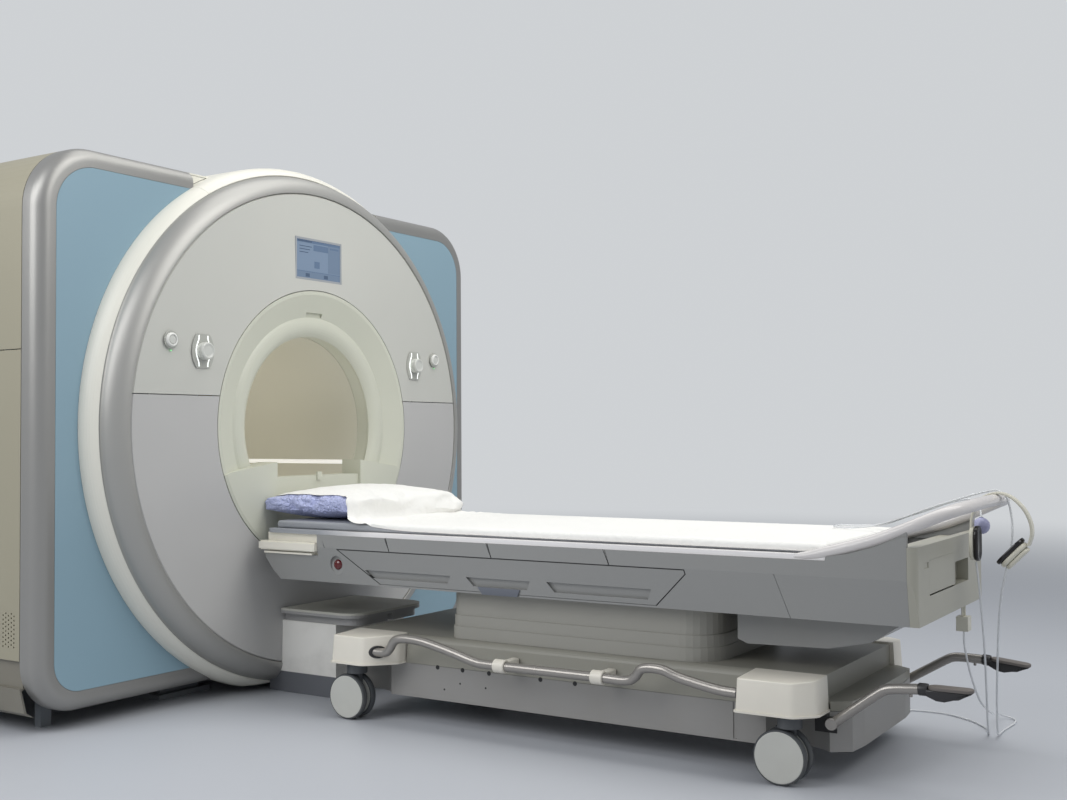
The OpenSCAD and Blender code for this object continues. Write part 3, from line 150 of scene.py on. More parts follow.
def linear(hex_colour):
    """Linear colour of a hex string as it is written for a screen."""
    parts = [int(hex_colour[i:i + 2], 16) / 255 for i in (1, 3, 5)]
    return tuple(c / 12.92 if c <= 0.04045 else ((c + 0.055) / 1.055) ** 2.4 for c in parts)


clear_vinyl, tree, inputs = new_material("clear_vinyl", linear("#f2f4f6"), 0.16)
inputs["Transmission Weight"].default_value = 0.35
inputs["IOR"].default_value = 1.4
for name, points in (("cup_tube", cup_tube_route), ("ball_tube", ball_tube_route)):
    route = smooth_route(points, 5)
    tube = meshed(tube_curve(name, route, tube_d))
    tube.data.materials.append(clear_vinyl)
    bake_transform(tube)
    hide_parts("air_tube")

# Floor and light
# A plain pale floor and a large soft ceiling of lamps stand in for the tiled room.
backdrop_colour = (0.62, 0.64, 0.66, 1)


def wired(tree, value, socket):
    """Sets an input to a value, or links another node's output to it."""
    if isinstance(value, bpy.types.NodeSocket):
        tree.links.new(value, socket)
    else:
        socket.default_value = value


def added(tree, kind, values, **choices):
    """Outputs of a new shader node with its choices and its inputs set."""
    fresh = tree.nodes.new("ShaderNode" + kind)
    for name, choice in choices.items():
        setattr(fresh, name, choice)
    for key, value in values.items():
        wired(tree, value, fresh.inputs[key])
    return fresh.outputs


def object_place(tree):
    return added(tree, "TexCoord", {})["Object"]


def ramp(tree, value, first, last, low=0.0, high=1.0, **choices):
    """Output that goes from low to high while a value goes from the first place to the last."""
    return added(tree, "MapRange", {"Value": value, "From Min": first, "From Max": last, "To Min": low,
                                    "To Max": high}, **choices)["Result"]


floor_mesh = bpy.data.meshes.new("floor")
shape = bmesh.new()
bmesh.ops.create_grid(shape, x_segments=1, y_segments=1, size=30)
shape.to_mesh(floor_mesh)
shape.free()
shown("floor", floor_mesh)
floor_paint, tree, inputs = new_material("floor_paint", linear("#b9bcc2"), 0.5)
reach = added(tree, "VectorMath", {0: object_place(tree)}, operation="LENGTH")["Value"]
both = added(tree, "MixShader", {"Fac": ramp(tree, reach, 4, 11, interpolation_type="SMOOTHSTEP"),
                                 1: tree.nodes["Principled BSDF"].outputs["BSDF"],
                                 2: added(tree, "Emission", {"Color": backdrop_colour})["Emission"]})
wired(tree, both["Shader"], tree.nodes["Material Output"].inputs["Surface"])
floor_mesh.materials.append(floor_paint)

world = bpy.data.worlds.new("studio")
bpy.context.scene.world = world
world.use_nodes = True
tree = world.node_tree
backdrop = tree.nodes["Background"]
backdrop.inputs["Color"].default_value = (0.86, 0.90, 0.96, 1)
backdrop.inputs["Strength"].default_value = 0.44
choose = added(tree, "MixShader", {"Fac": added(tree, "LightPath", {})["Is Camera Ray"],
                                   1: backdrop.outputs["Background"],
                                   2: added(tree, "Background", {"Color": backdrop_colour})["Background"]})
wired(tree, choose["Shader"], tree.nodes["World Output"].inputs["Surface"])


def lamp(name, place, aim, size, power, colour=(1, 1, 1)):
    """A rectangular lamp at a place that points at an aim and that no camera sees."""
    light = bpy.data.lights.new(name, "AREA")
    light.shape = "RECTANGLE"
    light.size, light.size_y = size
    light.energy = power
    light.color = colour
    thing = shown(name, light)
    thing.matrix_world = (Matrix.Translation(place)
                          @ (Vector(aim) - Vector(place)).to_track_quat("-Z", "Y").to_matrix().to_4x4())
    thing.visible_camera = False


lamp("bore_glow", (-0.05, 0, 0.72), (-0.05, 0, 1.3), (1.3, 0.44), 1.5, (1, 0.98, 0.94))
lamp("ceiling_foot", (4.6, 0.3, 4.0), (0.8, 0.0, 1.0), (3.0, 3.4), 92, (1, 0.99, 0.96))
lamp("ceiling_middle", (1.8, 0.6, 4.4), (1.6, 0.0, 0.6), (3.6, 2.6), 58, (1, 0.99, 0.96))
lamp("ceiling_side", (-0.4, -4.4, 2.9), (0.6, -0.5, 0.7), (3.4, 2.2), 86)
lamp("ceiling_near", (1.2, -2.7, 3.0), (1.1, -0.4, 0.5), (1.4, 1.0), 14)
bpy.context.scene.view_settings.view_transform = "Standard"

# Front cover, ring and drum
# Two moulded half rings of painted glass fibre close the scanner's front, split by a level seam. A
# metallic ring runs round their rim, and a cream band swells from it back to the coloured panels.


def new_group(name, ins, outs):
    """A shader node group of number sockets, with its own inputs and outputs."""
    group = bpy.data.node_groups.new(name, "ShaderNodeTree")
    for way, labels in (("INPUT", ins), ("OUTPUT", outs)):
        for label in labels:
            group.interface.new_socket(label, in_out=way, socket_type="NodeSocketFloat")
    return group, group.nodes.new("NodeGroupInput").outputs, group.nodes.new("NodeGroupOutput").inputs


def worked(tree, operation, *values):
    """Output of a math node whose inputs are numbers or other outputs."""
    return added(tree, "Math", dict(enumerate(values)), operation=operation)["Value"]


def overlaid(tree, mask, below, above):
    """Output of one colour laid over another by a mask."""
    return added(tree, "Mix", {"Factor": mask, "A": below, "B": above}, data_type="RGBA")["Result"]


def grain_group():
    """Fine moulded grain and a slow change of tone, from Object coordinates in metres."""
    group, ins, outs = new_group("moulded_grain", ["Grain size", "Cloud size"], ["Height", "Tone"])
    place = object_place(group)
    for size, detail, label in (("Grain size", 2, "Height"), ("Cloud size", 3, "Tone")):
        speckle = added(group, "TexNoise", {"Vector": place, "Scale": ins[size], "Detail": detail})
        wired(group, speckle["Fac"], outs[label])
    return group


def low_dust_group():
    """Mask of the scuffs and dust that gather near the floor, densest at the bottom."""
    group, ins, outs = new_group("low_dust", ["Reach"], ["Mask"])
    place = object_place(group)
    height = added(group, "SeparateXYZ", {"Vector": place})["Z"]
    blotch = added(group, "TexNoise", {"Vector": place, "Scale": 9, "Detail": 5})["Fac"]
    wired(group, worked(group, "MULTIPLY", ramp(group, height, 0, ins["Reach"], 1, 0),
                        ramp(group, blotch, 0.42, 0.75)), outs["Mask"])
    return group


moulded_grain = grain_group()
low_dust = low_dust_group()
dust_colour = (*linear("#8f8c84"), 1)


def grained(name, hex_colour, roughness, metallic=0.0, grain=900, bump=0.06, tone=0.05, dust=0.0,
            dust_reach=0.6):
    """A coated surface with fine grain, a slow change of tone and dust towards the floor."""
    colour = linear(hex_colour)
    material, tree, inputs = new_material(name, colour, roughness, metallic)
    surface = added(tree, "Group", {"Grain size": grain, "Cloud size": 1.6}, node_tree=moulded_grain)
    darker = (*(c * (1 - tone) for c in colour), 1)
    lighter = (*(min(c * (1 + tone), 1) for c in colour), 1)
    paint = overlaid(tree, surface["Tone"], darker, lighter)
    if dust:
        soil = added(tree, "Group", {"Reach": dust_reach}, node_tree=low_dust)["Mask"]
        paint = overlaid(tree, worked(tree, "MULTIPLY", soil, dust), paint, dust_colour)
    wired(tree, paint, inputs["Base Color"])
    wired(tree, ramp(tree, surface["Tone"], 0, 1, roughness - 0.05, roughness + 0.05), inputs["Roughness"])
    relief = added(tree, "Bump", {"Strength": bump, "Distance": 0.0004, "Height": surface["Height"]})
    wired(tree, relief["Normal"], inputs["Normal"])
    return material


def coat(material, *names):
    """Gives CAD nodes their finish."""
    for name in names:
        nodes[name].data.materials.clear()
        nodes[name].data.materials.append(material)


coat(grained("front_paint", "#c8c8c1", 0.32), "front_cover_upper")
coat(grained("lower_paint", "#bebdbb", 0.34, dust=0.10), "front_cover_lower")
ring_paint = grained("ring_paint", "#aaa9a5", 0.42, metallic=0.45, grain=2200, tone=0.06)
cream_plastic = grained("cream_plastic", "#e4e2d7", 0.38)
coat(cream_plastic, "drum_bands", "top_cover", "rear_cover")
axis_z = 0.979
face_r, ring_r = 0.892, 0.963
face_x, ring_bulge, ring_deep = 0.865, 0.075, 0.080
dock_room_y = 0.1954


def placed(piece, materials, body, replaces=()):
    """Gives a piece its materials, the body it rides on and the CAD nodes it stands for."""
    for material in materials:
        piece.data.materials.append(material)
    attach(piece, body)
    if replaces:
        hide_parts(*replaces)
    return piece


def finished(name, shape, materials, body, replaces=(), crease=35):
    """Puts a bmesh into the scene as a finished piece that rides on a body."""
    bmesh.ops.remove_doubles(shape, verts=shape.verts, dist=0.00001)
    bmesh.ops.recalc_face_normals(shape, faces=shape.faces)
    mesh = bpy.data.meshes.new(name)
    shape.to_mesh(mesh)
    shape.free()
    mesh.shade_smooth()
    mesh.set_sharp_from_angle(angle=math.radians(crease))
    return placed(shown(name, mesh), materials, body, replaces)


def moved(shape, matrix):
    bmesh.ops.transform(shape, matrix=matrix, verts=shape.verts)
    return shape


def turned(profile, place, axis, steps=64):
    """A bmesh turned from radius and distance pairs along an axis through a place."""
    shape = bmesh.new()
    verts = [shape.verts.new((r, 0, h)) for r, h in profile]
    edges = [shape.edges.new(pair) for pair in zip(verts, verts[1:])]
    bmesh.ops.spin(shape, geom=verts + edges, cent=(0, 0, 0), axis=(0, 0, 1), dvec=(0, 0, 0),
                   angle=math.tau, steps=steps, use_merge=True, use_duplicate=False)
    bmesh.ops.remove_doubles(shape, verts=shape.verts, dist=0.000001)
    bmesh.ops.dissolve_degenerate(shape, edges=shape.edges, dist=0.0000001)
    way = {"X": Matrix.Rotation(math.pi / 2, 4, "Y"), "Y": Matrix.Rotation(-math.pi / 2, 4, "X"),
           "Z": Matrix.Identity(4)}[axis]
    return moved(shape, Matrix.Translation(place) @ way)


def parted(shape, places, is_gone):
    """Cuts a closed ring at places along Y, takes faces away by their centre and fills the ends."""
    for place in places:
        bmesh.ops.bisect_plane(shape, geom=shape.verts[:] + shape.edges[:] + shape.faces[:], dist=0.000001,
                               plane_co=(0, place, 0), plane_no=(0, 1, 0))
    gone = [f for f in shape.faces if is_gone(f.calc_center_median())]
    bmesh.ops.delete(shape, geom=gone, context="FACES")
    bmesh.ops.holes_fill(shape, edges=[e for e in shape.edges if e.is_boundary], sides=0)
    return shape


inner_r, outer_r, bulge_x = face_r + 0.002, ring_r + 0.0045, face_x - ring_deep
ring_section = [(inner_r, face_x - 0.058), (inner_r, face_x - 0.009), (face_r + 0.004, face_x - 0.006)]
for k in range(14):
    a = math.radians(80 - 72 * k / 13)
    ring_section.append((ring_r - ring_bulge + ring_bulge * math.cos(a), bulge_x + ring_bulge * math.sin(a)))
ring_section += [(ring_r + 0.0015, face_x - 0.0735), (outer_r, face_x - 0.0750), (outer_r, bulge_x),
                 (ring_r - 0.020, bulge_x), (inner_r, face_x - 0.058)]
rim = parted(turned(ring_section, (0, 0, axis_z), "X", 256), (dock_room_y, -dock_room_y),
             lambda centre: abs(centre.y) < dock_room_y and centre.z < axis_z)
finished("bulged_ring", rim, [ring_paint], "gantry", ["front_ring"])

# Entry funnel and bore
# The funnel is one greenish cream moulding with a shelf on each side of the table's path. A matt
# lining runs through the bore, with a light strip low on each side.


def glowing(name, colour, roughness, glow, strength):
    """A smooth surface that gives light of its own."""
    material, tree, inputs = new_material(name, colour, roughness)
    inputs["Emission Color"].default_value = (*glow, 1)
    inputs["Emission Strength"].default_value = strength
    return material


coat(grained("funnel_plastic", "#d0d1c2", 0.36), "entry_funnel")
coat(grained("liner_plastic", "#dad7c9", 0.5), "bore_liner")
coat(glowing("lit_strip", (1, 1, 1), 0.4, (1, 0.98, 0.94), 0.36), "bore_lights")

# Coloured panels, trim and side covers
# Two light blue panels stand beside the drum inside a rounded metallic trim. The cream side and top
# covers wrap the magnet behind them, down to a flared base skirt. A thin web closes the corner
# between each upper end of the trim and the drum.
coat(grained("blue_paint", "#8ba7b5", 0.34, tone=0.04), "front_panels")
coat(grained("side_paint", "#9d9885", 0.4, dust=0.12), "side_covers")
# Painted shade: the skirt's grey brown lies between its own cream and the dark it shows low by the floor, so
# it is partly painted shade.
coat(grained("shaded_skirt_paint", "#7d796e", 0.45, dust=0.35), "base_skirt")
trim_paint = grained("trim_paint", "#9b9a97", 0.38, metallic=0.55, grain=2200, dust=0.15)
panel_x, panel_y = 0.732, 1.086
panel_low, panel_high = 0.126, 1.830
panel_low_r, panel_high_r = 0.100, 0.150
trim_w, trim_deep, trim_round = 0.066, 0.080, 0.046
trim_end_y, trim_foot_y = 0.516, 0.400
drum_r = 1.001
both_sides = ((-1, "near"), (1, "far"))


def extruded(shape, faces, move):
    """Extrudes faces by a move and gives the new vertices."""
    out = bmesh.ops.extrude_face_region(shape, geom=faces)["geom"]
    fresh = [g for g in out if isinstance(g, bmesh.types.BMVert)]
    bmesh.ops.translate(shape, vec=move, verts=fresh)
    bmesh.ops.recalc_face_normals(shape, faces=shape.faces)
    return fresh


def rounded(shape, edges, radius, segments=4):
    bmesh.ops.bevel(shape, geom=edges, offset=radius, segments=segments, profile=0.5, affect="EDGES",
                    material=-1)


def sharp_edges(shape, angle):
    """Edges at which two faces meet at more than an angle."""
    return [e for e in shape.edges if len(e.link_faces) == 2 and e.calc_face_angle(0) > math.radians(angle)]


def slab(outline, move, radius=0.0, segments=3, angle=50):
    """A plate with an outline of places, a move as its thickness, and round edges."""
    shape = bmesh.new()
    extruded(shape, [shape.faces.new([shape.verts.new(place) for place in outline])], move)
    if radius:
        rounded(shape, sharp_edges(shape, angle), radius, segments)
    return shape


def upright_ring(shape, grow, x, steps=16):
    """Vertices round the panels' outline, grown outwards, at a distance along X."""
    low_r, high_r = panel_low_r + grow, panel_high_r + grow
    low, high = panel_low - grow + low_r, panel_high + grow - high_r
    ring = []
    for side, z, r, start in ((1, low, low_r, -90), (1, high, high_r, 0),
                              (-1, high, high_r, 90), (-1, low, low_r, 180)):
        for k in range(steps + 1):
            a = math.radians(start + 90 * k / steps)
            y = side * (panel_y + grow - r) + r * math.cos(a)
            ring.append(shape.verts.new((x, y, z + r * math.sin(a))))
    return ring


section = [(0, panel_x - trim_deep), (0, panel_x)]
for k in range(9):
    a = math.radians(90 - 90 * k / 8)
    section.append((trim_w - trim_round + trim_round * math.cos(a),
                    panel_x - trim_round + trim_round * math.sin(a)))
section.append((trim_w, panel_x - trim_deep))
trim = bmesh.new()
hoops = [upright_ring(trim, grow, x) for grow, x in section]
for first, second in zip(hoops, hoops[1:] + hoops[:1]):
    for k in range(len(first)):
        trim.faces.new((first[k - 1], first[k], second[k], second[k - 1]))
parted(trim, (trim_end_y, -trim_end_y, trim_foot_y, -trim_foot_y),
       lambda centre: abs(centre.y) < (trim_end_y if centre.z > axis_z else trim_foot_y))
finished("trim_frame", trim, [trim_paint], "gantry", ["panel_trims"])
web_y, web_top, web_r = trim_end_y - 0.0035, panel_high + trim_w - 0.0075, drum_r + 0.0015
first = math.asin(web_y / web_r)
last = math.acos((web_top - axis_z) / web_r)
turns = [first + (last - first) * k / 8 for k in range(9)]
for side, name in both_sides:
    outline = [(web_y, web_top)] + [(web_r * math.sin(a), axis_z + web_r * math.cos(a)) for a in turns]
    web = slab([(panel_x - 0.048, side * y, z) for y, z in outline], (0.0075, 0, 0))
    finished("top_web_%s" % name, web, [cream_plastic], "gantry")

# Magnet and its inner parts
# Hidden inside: the vessel of welded steel, the cast gradient coil, the body coil and their frames.
coat(grained("vessel_paint", "#e6e6e2", 0.45), "magnet_vessel")
coat(grained("coil_resin", "#b98b4a", 0.4), "gradient_coil", "body_coil")
coat(grained("frame_paint", "#6f7479", 0.5, dust=0.3),
     "magnet_feet", "cover_frame", "lift_columns", "lift_posts")

# Operating controls
# A turning knob and a stop button stand on each side of the screen over the bore. Two bowed lines of
# light run past each knob, and a glossy white collar rings each stop button.
knob_y, knob_z = 0.592, 1.239
stop_y, stop_z = 0.733, 1.270
control_x = face_x + 0.0028
coat(grained("control_plastic", "#cfd0ca", 0.30, grain=1800),
     "knob_left", "knob_right", "stop_button_left", "stop_button_right")
coat(grained("plate_plastic", "#b2b3ac", 0.3, grain=1800, tone=0.02), "knob_plates")
collar_white = grained("collar_white", "#e6e6e1", 0.2, grain=1800, tone=0.02)
lit_line = glowing("lit_line", (0.95, 0.97, 0.95), 0.3, (0.95, 1, 0.98), 1.0)
lamp_green = glowing("lamp_green", linear("#7fd08a"), 0.25, linear("#9cf0a6"), 0.6)
bowed_line = [(20, -54), (21, -40), (29, -20), (33, 0), (29, 20), (21, 40), (20, 54)]
collar_section = [(0.0155, 0), (0.0155, 0.0065), (0.0175, 0.0085), (0.0205, 0.0085), (0.0235, 0.006),
                  (0.0245, 0.003), (0.0245, 0), (0.0155, 0)]
for side, name in ((-1, "left"), (1, "right")):
    for bow in (-1, 1):
        route = smooth_route([(1000 * control_x, 1000 * side * knob_y + bow * y, 1000 * knob_z + z)
                              for y, z in bowed_line], 5)
        line = tube_curve("light_line_%s_%d" % (name, (bow + 3) / 2), route, 0.0032)
        placed(line, [lit_line], "gantry")
    finished("stop_collar_%s" % name, turned(collar_section, (control_x, side * stop_y, stop_z), "X", 48),
             [collar_white], "gantry")
    signal = turned([(0, 0.0032), (0.0018, 0.0028), (0.0028, 0.0014), (0.003, 0)],
                    (face_x - 0.0006, side * stop_y, stop_z - 0.036), "X", 16)
    finished("signal_lamp_%s" % name, signal, [lamp_green], "gantry")

# Display
# A flat lit screen over the bore shows a generic view of a patient on a table, drawn as plain panes.
display_w, display_h, display_z = 0.261, 0.161, 1.621
bezel_w = 0.016
coat(grained("bezel_grey", "#9fa3a8", 0.3, grain=1800), "display")
pane_looks = []
for name, hex_colour in (("pale", "#75869b"), ("mid", "#5d7089"), ("mark", "#4a5a70"), ("side", "#6a7b90")):
    pane_looks.append(glowing("pane_%s" % name, linear(hex_colour), 0.15, linear(hex_colour), 0.2))


def joined(*shapes):
    """One bmesh that holds all of the given ones."""
    whole = bmesh.new()
    for shape in shapes:
        store = bpy.data.meshes.new("part")
        shape.to_mesh(store)
        shape.free()
        whole.from_mesh(store)
        bpy.data.meshes.remove(store)
    return whole


def block(low, high, radius=0.0, segments=3):
    """A block between two corners with rounded edges."""
    shape = bmesh.new()
    bmesh.ops.create_cube(shape, size=1)
    low, high = Vector(low), Vector(high)
    bmesh.ops.scale(shape, vec=high - low, verts=shape.verts)
    bmesh.ops.translate(shape, vec=(low + high) / 2, verts=shape.verts)
    if radius:
        rounded(shape, shape.edges[:], radius, segments)
    return shape


def tinted(shape, index):
    """Gives every face of a bmesh one material index."""
    for face in shape.faces:
        face.material_index = index
    return shape


def pane(y0, y1, z0, z1, layer, index):
    """A thin pane on the screen, from its left edge and its bottom edge as parts of its size."""
    w, h = display_w - bezel_w, display_h - bezel_w
    x = face_x - 0.0039 + 0.0004 * layer
    return tinted(block((x, -w / 2 + w * y0, display_z - h / 2 + h * z0),
                        (x + 0.0004, -w / 2 + w * y1, display_z - h / 2 + h * z1)), index)


screen = joined(
    pane(0, 1, 0, 1, 0, 0), pane(0, 1, 0.93, 1, 1, 1), pane(0.02, 0.34, 0.945, 0.985, 2, 2),
    pane(0.72, 1, 0.2, 0.93, 1, 3), pane(0.38, 0.72, 0.74, 0.90, 1, 1), pane(0.76, 0.96, 0.84, 0.885, 2, 1),
    pane(0.40, 0.52, 0.28, 0.46, 1, 1), pane(0, 1, 0, 0.17, 1, 3), pane(0, 1, 0.165, 0.18, 2, 1),
    pane(0.2, 0.29, 0.03, 0.12, 2, 2), pane(0.62, 0.71, 0.03, 0.12, 2, 2), pane(0.06, 0.34, 0.82, 0.84, 1, 2),
    pane(0.06, 0.30, 0.74, 0.76, 1, 2), pane(0.06, 0.26, 0.66, 0.68, 1, 2))
finished("screen", screen, pane_looks, "gantry")

# Dock
# A floor box under the bore, with a dark plinth and an overhanging cap that guides the trolley in.


def overpainted(material, mask, hex_colour):
    """Lays a colour over a coated surface where a mask in its tree says."""
    tree = material.node_tree
    base = tree.nodes["Principled BSDF"].inputs["Base Color"]
    wired(tree, overlaid(tree, mask, base.links[0].from_socket, (*linear(hex_colour), 1)), base)
    return material


def banded(name, hex_colour, other, top, roughness=0.42, axis="Z", blur=0.0004, dust=0.3):
    """A coated surface that has another colour up to a place along an axis."""
    material = grained(name, hex_colour, roughness, dust=dust)
    tree = material.node_tree
    along = added(tree, "SeparateXYZ", {"Vector": object_place(tree)})[axis]
    return overpainted(material, ramp(tree, along, top - blur, top + blur, 1, 0), other)


coat(banded("dock_paint", "#f2f0ea", "#6b6d72", 0.0752), "dock_box")
coat(banded("cap_paint", "#c2c1b7", "#a3a2a1", 0.3010, dust=0.1), "dock_cap")

# Table
# A long shell of light grey covers on a lift, with a tabletop whose edge shows round the mattress. A
# blue grey plate fills the hand slot's lower side in the middle.
joint_shade_half = 0.0017
panel_outline = [(1.448, 0.445), (1.276, 0.5555), (2.581, 0.5555), (2.584, 0.543), (2.482, 0.445)]
cover_joints = [((x, 0.616), (x + 0.020, 0.558)) for x in (1.4845, 1.8945, 2.3165)]


def joint_shade_group():
    """Mask of painted shade along the joints round the table's side panels, drawn along their lines seen from
    the side.
    """
    group, ins, outs = new_group("panel_joint_shade", [], ["Mask"])
    axes = added(group, "SeparateXYZ", {"Vector": object_place(group)})
    x, y, z = (axes[axis] for axis in "XYZ")
    mask = 0.0
    for start, end in list(zip(panel_outline, panel_outline[1:])) + cover_joints:
        first, last = Vector(start), Vector(end)
        length = (last - first).length
        way = (last - first).normalized()
        side = Vector((-way.y, way.x))
        along, across = (worked(group, "MULTIPLY_ADD", x, aim.x,
                                worked(group, "MULTIPLY_ADD", z, aim.y, -first.dot(aim)))
                         for aim in (way, side))
        near = ramp(group, worked(group, "ABSOLUTE", across), joint_shade_half + 0.0004, joint_shade_half - 0.0002)
        ends = worked(group, "MULTIPLY", ramp(group, along, -0.002, 0),
                      ramp(group, along, length + 0.002, length))
        mask = worked(group, "MAXIMUM", mask, worked(group, "MULTIPLY", near, ends))
    outside = ramp(group, worked(group, "ABSOLUTE", y), 0.330, 0.334)
    wired(group, worked(group, "MULTIPLY", mask, outside), outs["Mask"])
    return group


table_paint = grained("table_paint", "#949492", 0.36)
# Painted shade: a dark grey is laid along the side panels' joints, where shade falls into the gaps.
joint_shade = added(table_paint.node_tree, "Group", {}, node_tree=joint_shade_group())["Mask"]
coat(overpainted(table_paint, joint_shade, "#3c3c3b"), "table_body", "side_panels", "under_cover")
coat(grained("foot_paint", "#a5a397", 0.38), "end_cover", "end_flap")
coat(grained("grab_paint", "#ebe7da", 0.32), "grab_handles")
coat(banded("top_plastic", "#f2efee", "#a0a3a8", 1.30, roughness=0.3, axis="X", blur=0.12, dust=0),
     "tabletop")
red_lens, tree, inputs = new_material("red_lens", linear("#5c0c10"), 0.10)
inputs["Coat Weight"].default_value = 0.6
coat(red_lens, "release_button")
slot_grey = grained("slot_grey", "#6c7079", 0.5)
slot_side, slot_low, slot_lean = 0.3488, 0.4375, 0.09
for side, name in both_sides:
    outline = [(x, side * (slot_side + slot_lean * (z - slot_low)), z)
               for x, z in ((1.850, 0.4615), (2.012, 0.4615), (2.000, slot_low), (1.868, slot_low))]
    plate = slab(outline, (0, side * 0.0022, 0), 0.0006, 2, 30)
    finished("slot_plate_%s" % name, plate, [slot_grey], "table")

# Bow handle
# One bent steel tube, painted glossy white, that grows out of the table's edge and rises round the
# foot end.
handle_paint = grained("handle_paint", "#d6d2d0", 0.2, grain=1500, tone=0.03)
bow_half = [
    (2890, -357, 606), (2950, -355, 613), (3000, -353, 624), (3060, -352, 640), (3130, -350, 661),
    (3200, -346, 689), (3250, -340, 711), (3292, -322, 730), (3322, -284, 742), (3338, -200, 749),
    (3343, -90, 752), (3343, 0, 752),
]
bow_route = smooth_route(bow_half + [(x, -y, z) for x, y, z in bow_half[-2::-1]], 6)
bow = tube_curve("bow_tube", bow_route, 0.034, 8)
bow_points = bow.data.splines[0].points
for k, thinner in enumerate((0.30, 0.40, 0.50, 0.58, 0.65, 0.71, 0.77, 0.83, 0.88, 0.92, 0.95, 0.98)):
    bow_points[k].radius = thinner
    bow_points[-1 - k].radius = thinner
placed(bow, [handle_paint], "table", ["bow_handle"])

# Lift and trolley
# Nested shells hide the lift's columns. The trolley is a folded steel frame under a moulded deck,
# with a row of notches under the deck's edge and three small screws. The notches are shallow near black
# dishes, painted shade for their hollows, and the screws share that black.
coat(grained("lift_plastic", "#9c9a92", 0.42), "lift_shell_upper", "lift_shell_middle", "lift_shell_lower")
coat(grained("deck_paint", "#918f85", 0.45, dust=0.25, dust_reach=0.5), "deck_cover")
coat(grained("base_paint", "#959390", 0.45, dust=0.45, dust_reach=0.3), "trolley_base")
cap_plastic = grained("cap_plastic", "#e3ded2", 0.36, dust=0.12)
# Painted shade: near black for the insides of the skirt's notches and the pedal slots.
hollow_shade_black = grained("hollow_shade_black", "#2a2a2b", 0.7)
notches = [(x, 0.1860, 0.0072) for x in (1.674, 1.774, 1.877, 2.070, 2.194)]
skirt_face_y = 0.3282
screws = [(1.701, 0.117, 0.0030), (1.764, 0.142, 0.0030), (1.864, 0.138, 0.0030)]
for side, name in both_sides:
    marks = [turned([(0, -0.0012), (r - 0.0008, -0.0012), (r, -0.0004), (r, 0.0016)],
                    (x, side * skirt_face_y, z), "Y", 20) for x, z, r in notches + screws]
    finished("skirt_holes_%s" % name, joined(*marks), [hollow_shade_black], "trolley")

# Side rails
# A bent steel tube on each side, painted grey and held by two moulded clamps.
rail_paint = grained("rail_paint", "#9c9893", 0.27, metallic=0.6, grain=1600, dust=0.1)
rail_side, rail_low = 412, 232
rail_y, rail_z = rail_side / 1000, rail_low / 1000
rail_points = [
    (1478, rail_low), (1508, rail_low), (1531, 236), (1546, 252), (1558, 270), (1580, 282), (1625, 285),
    (1690, 279), (1790, 258), (1880, 236), (1940, rail_low), (2130, rail_low), (2330, rail_low),
    (2415, rail_low), (2445, 246), (2470, 272), (2530, 274), (2590, 256), (2700, 236), (2776, rail_low),
]
hug_section = [(0.0146, -0.020), (0.0188, -0.020), (0.0208, -0.018), (0.0208, 0.018), (0.0188, 0.020),
               (0.0146, 0.020), (0.0146, -0.020)]
clamp_places = (1.978, 2.323)
clamp_root_y, clamp_tip_y = 0.325, 0.402
for side, name in both_sides:
    route = smooth_route([(x, side * rail_side, z) for x, z in rail_points], 6)
    rail = tube_curve("rail_%s" % name, route, 0.029, 7)
    placed(rail, [rail_paint], "trolley", ["side_rails"])
    for k, x in enumerate(clamp_places, 1):
        y0, y1 = sorted((side * clamp_root_y, side * clamp_tip_y))
        clamp = joined(turned(hug_section, (x, side * rail_y, rail_z), "X", 40),
                       block((x - 0.014, y0, 0.2190), (x + 0.014, y1, 0.2450), 0.005))
        finished("rail_clamp_%s_%d" % (name, k), clamp, [cap_plastic], "trolley")

# Castors
# Twin wheels on a dark swivelling fork. Each wheel is a grey rubber tyre on an off-white hub cap.
tyre_rubber = grained("tyre_rubber", "#4a4d50", 0.6, grain=1400, tone=0.12, dust=0.4, dust_reach=0.16)
hub_plastic = grained("hub_plastic", "#c6c6bf", 0.35, grain=1400, dust=0.25, dust_reach=0.16)
fork_paint = grained("fork_paint", "#4e5154", 0.45, dust=0.4, dust_reach=0.2)
wheel_r, wheel_gap = 0.075, 0.020
castor_places = [(1.367, -0.392), (1.367, 0.392), (2.883, -0.392), (2.883, 0.392)]
tyre_section = [(0.066, 0.001), (0.0690, 0.0006), (0.0722, 0.0014), (0.0744, 0.005), (0.0750, 0.010),
                (0.0750, 0.014), (0.0744, 0.019), (0.0722, 0.0226), (0.0700, 0.0232), (0.066, 0.022),
                (0.066, 0.001)]
hub_section = [(0, 0.002), (0.045, 0.002), (0.060, 0.0012), (0.0658, 0.002), (0.0658, 0.0225),
               (0.0690, 0.0233), (0.0682, 0.0240), (0.0660, 0.0240), (0.0640, 0.0236), (0, 0.0234)]
for k, (x, y) in enumerate(castor_places, 1):
    coat(fork_paint, "castor_fork_%d" % k)
    parts = []
    for side in (-1, 1):
        place = (x, y + side * wheel_gap / 2, wheel_r)
        for index, section, steps in ((0, tyre_section, 96), (1, hub_section, 72)):
            parts.append(tinted(turned([(r, side * h) for r, h in section], place, "Y", steps), index))
    parts.append(tinted(turned([(0.006, -0.012), (0.006, 0.012)], (x, y, wheel_r), "Y", 24), 1))
    finished("twin_wheel_%d" % k, joined(*parts), [tyre_rubber, hub_plastic], "wheel_%d" % k,
             ["castor_wheel_%d" % k], crease=45)

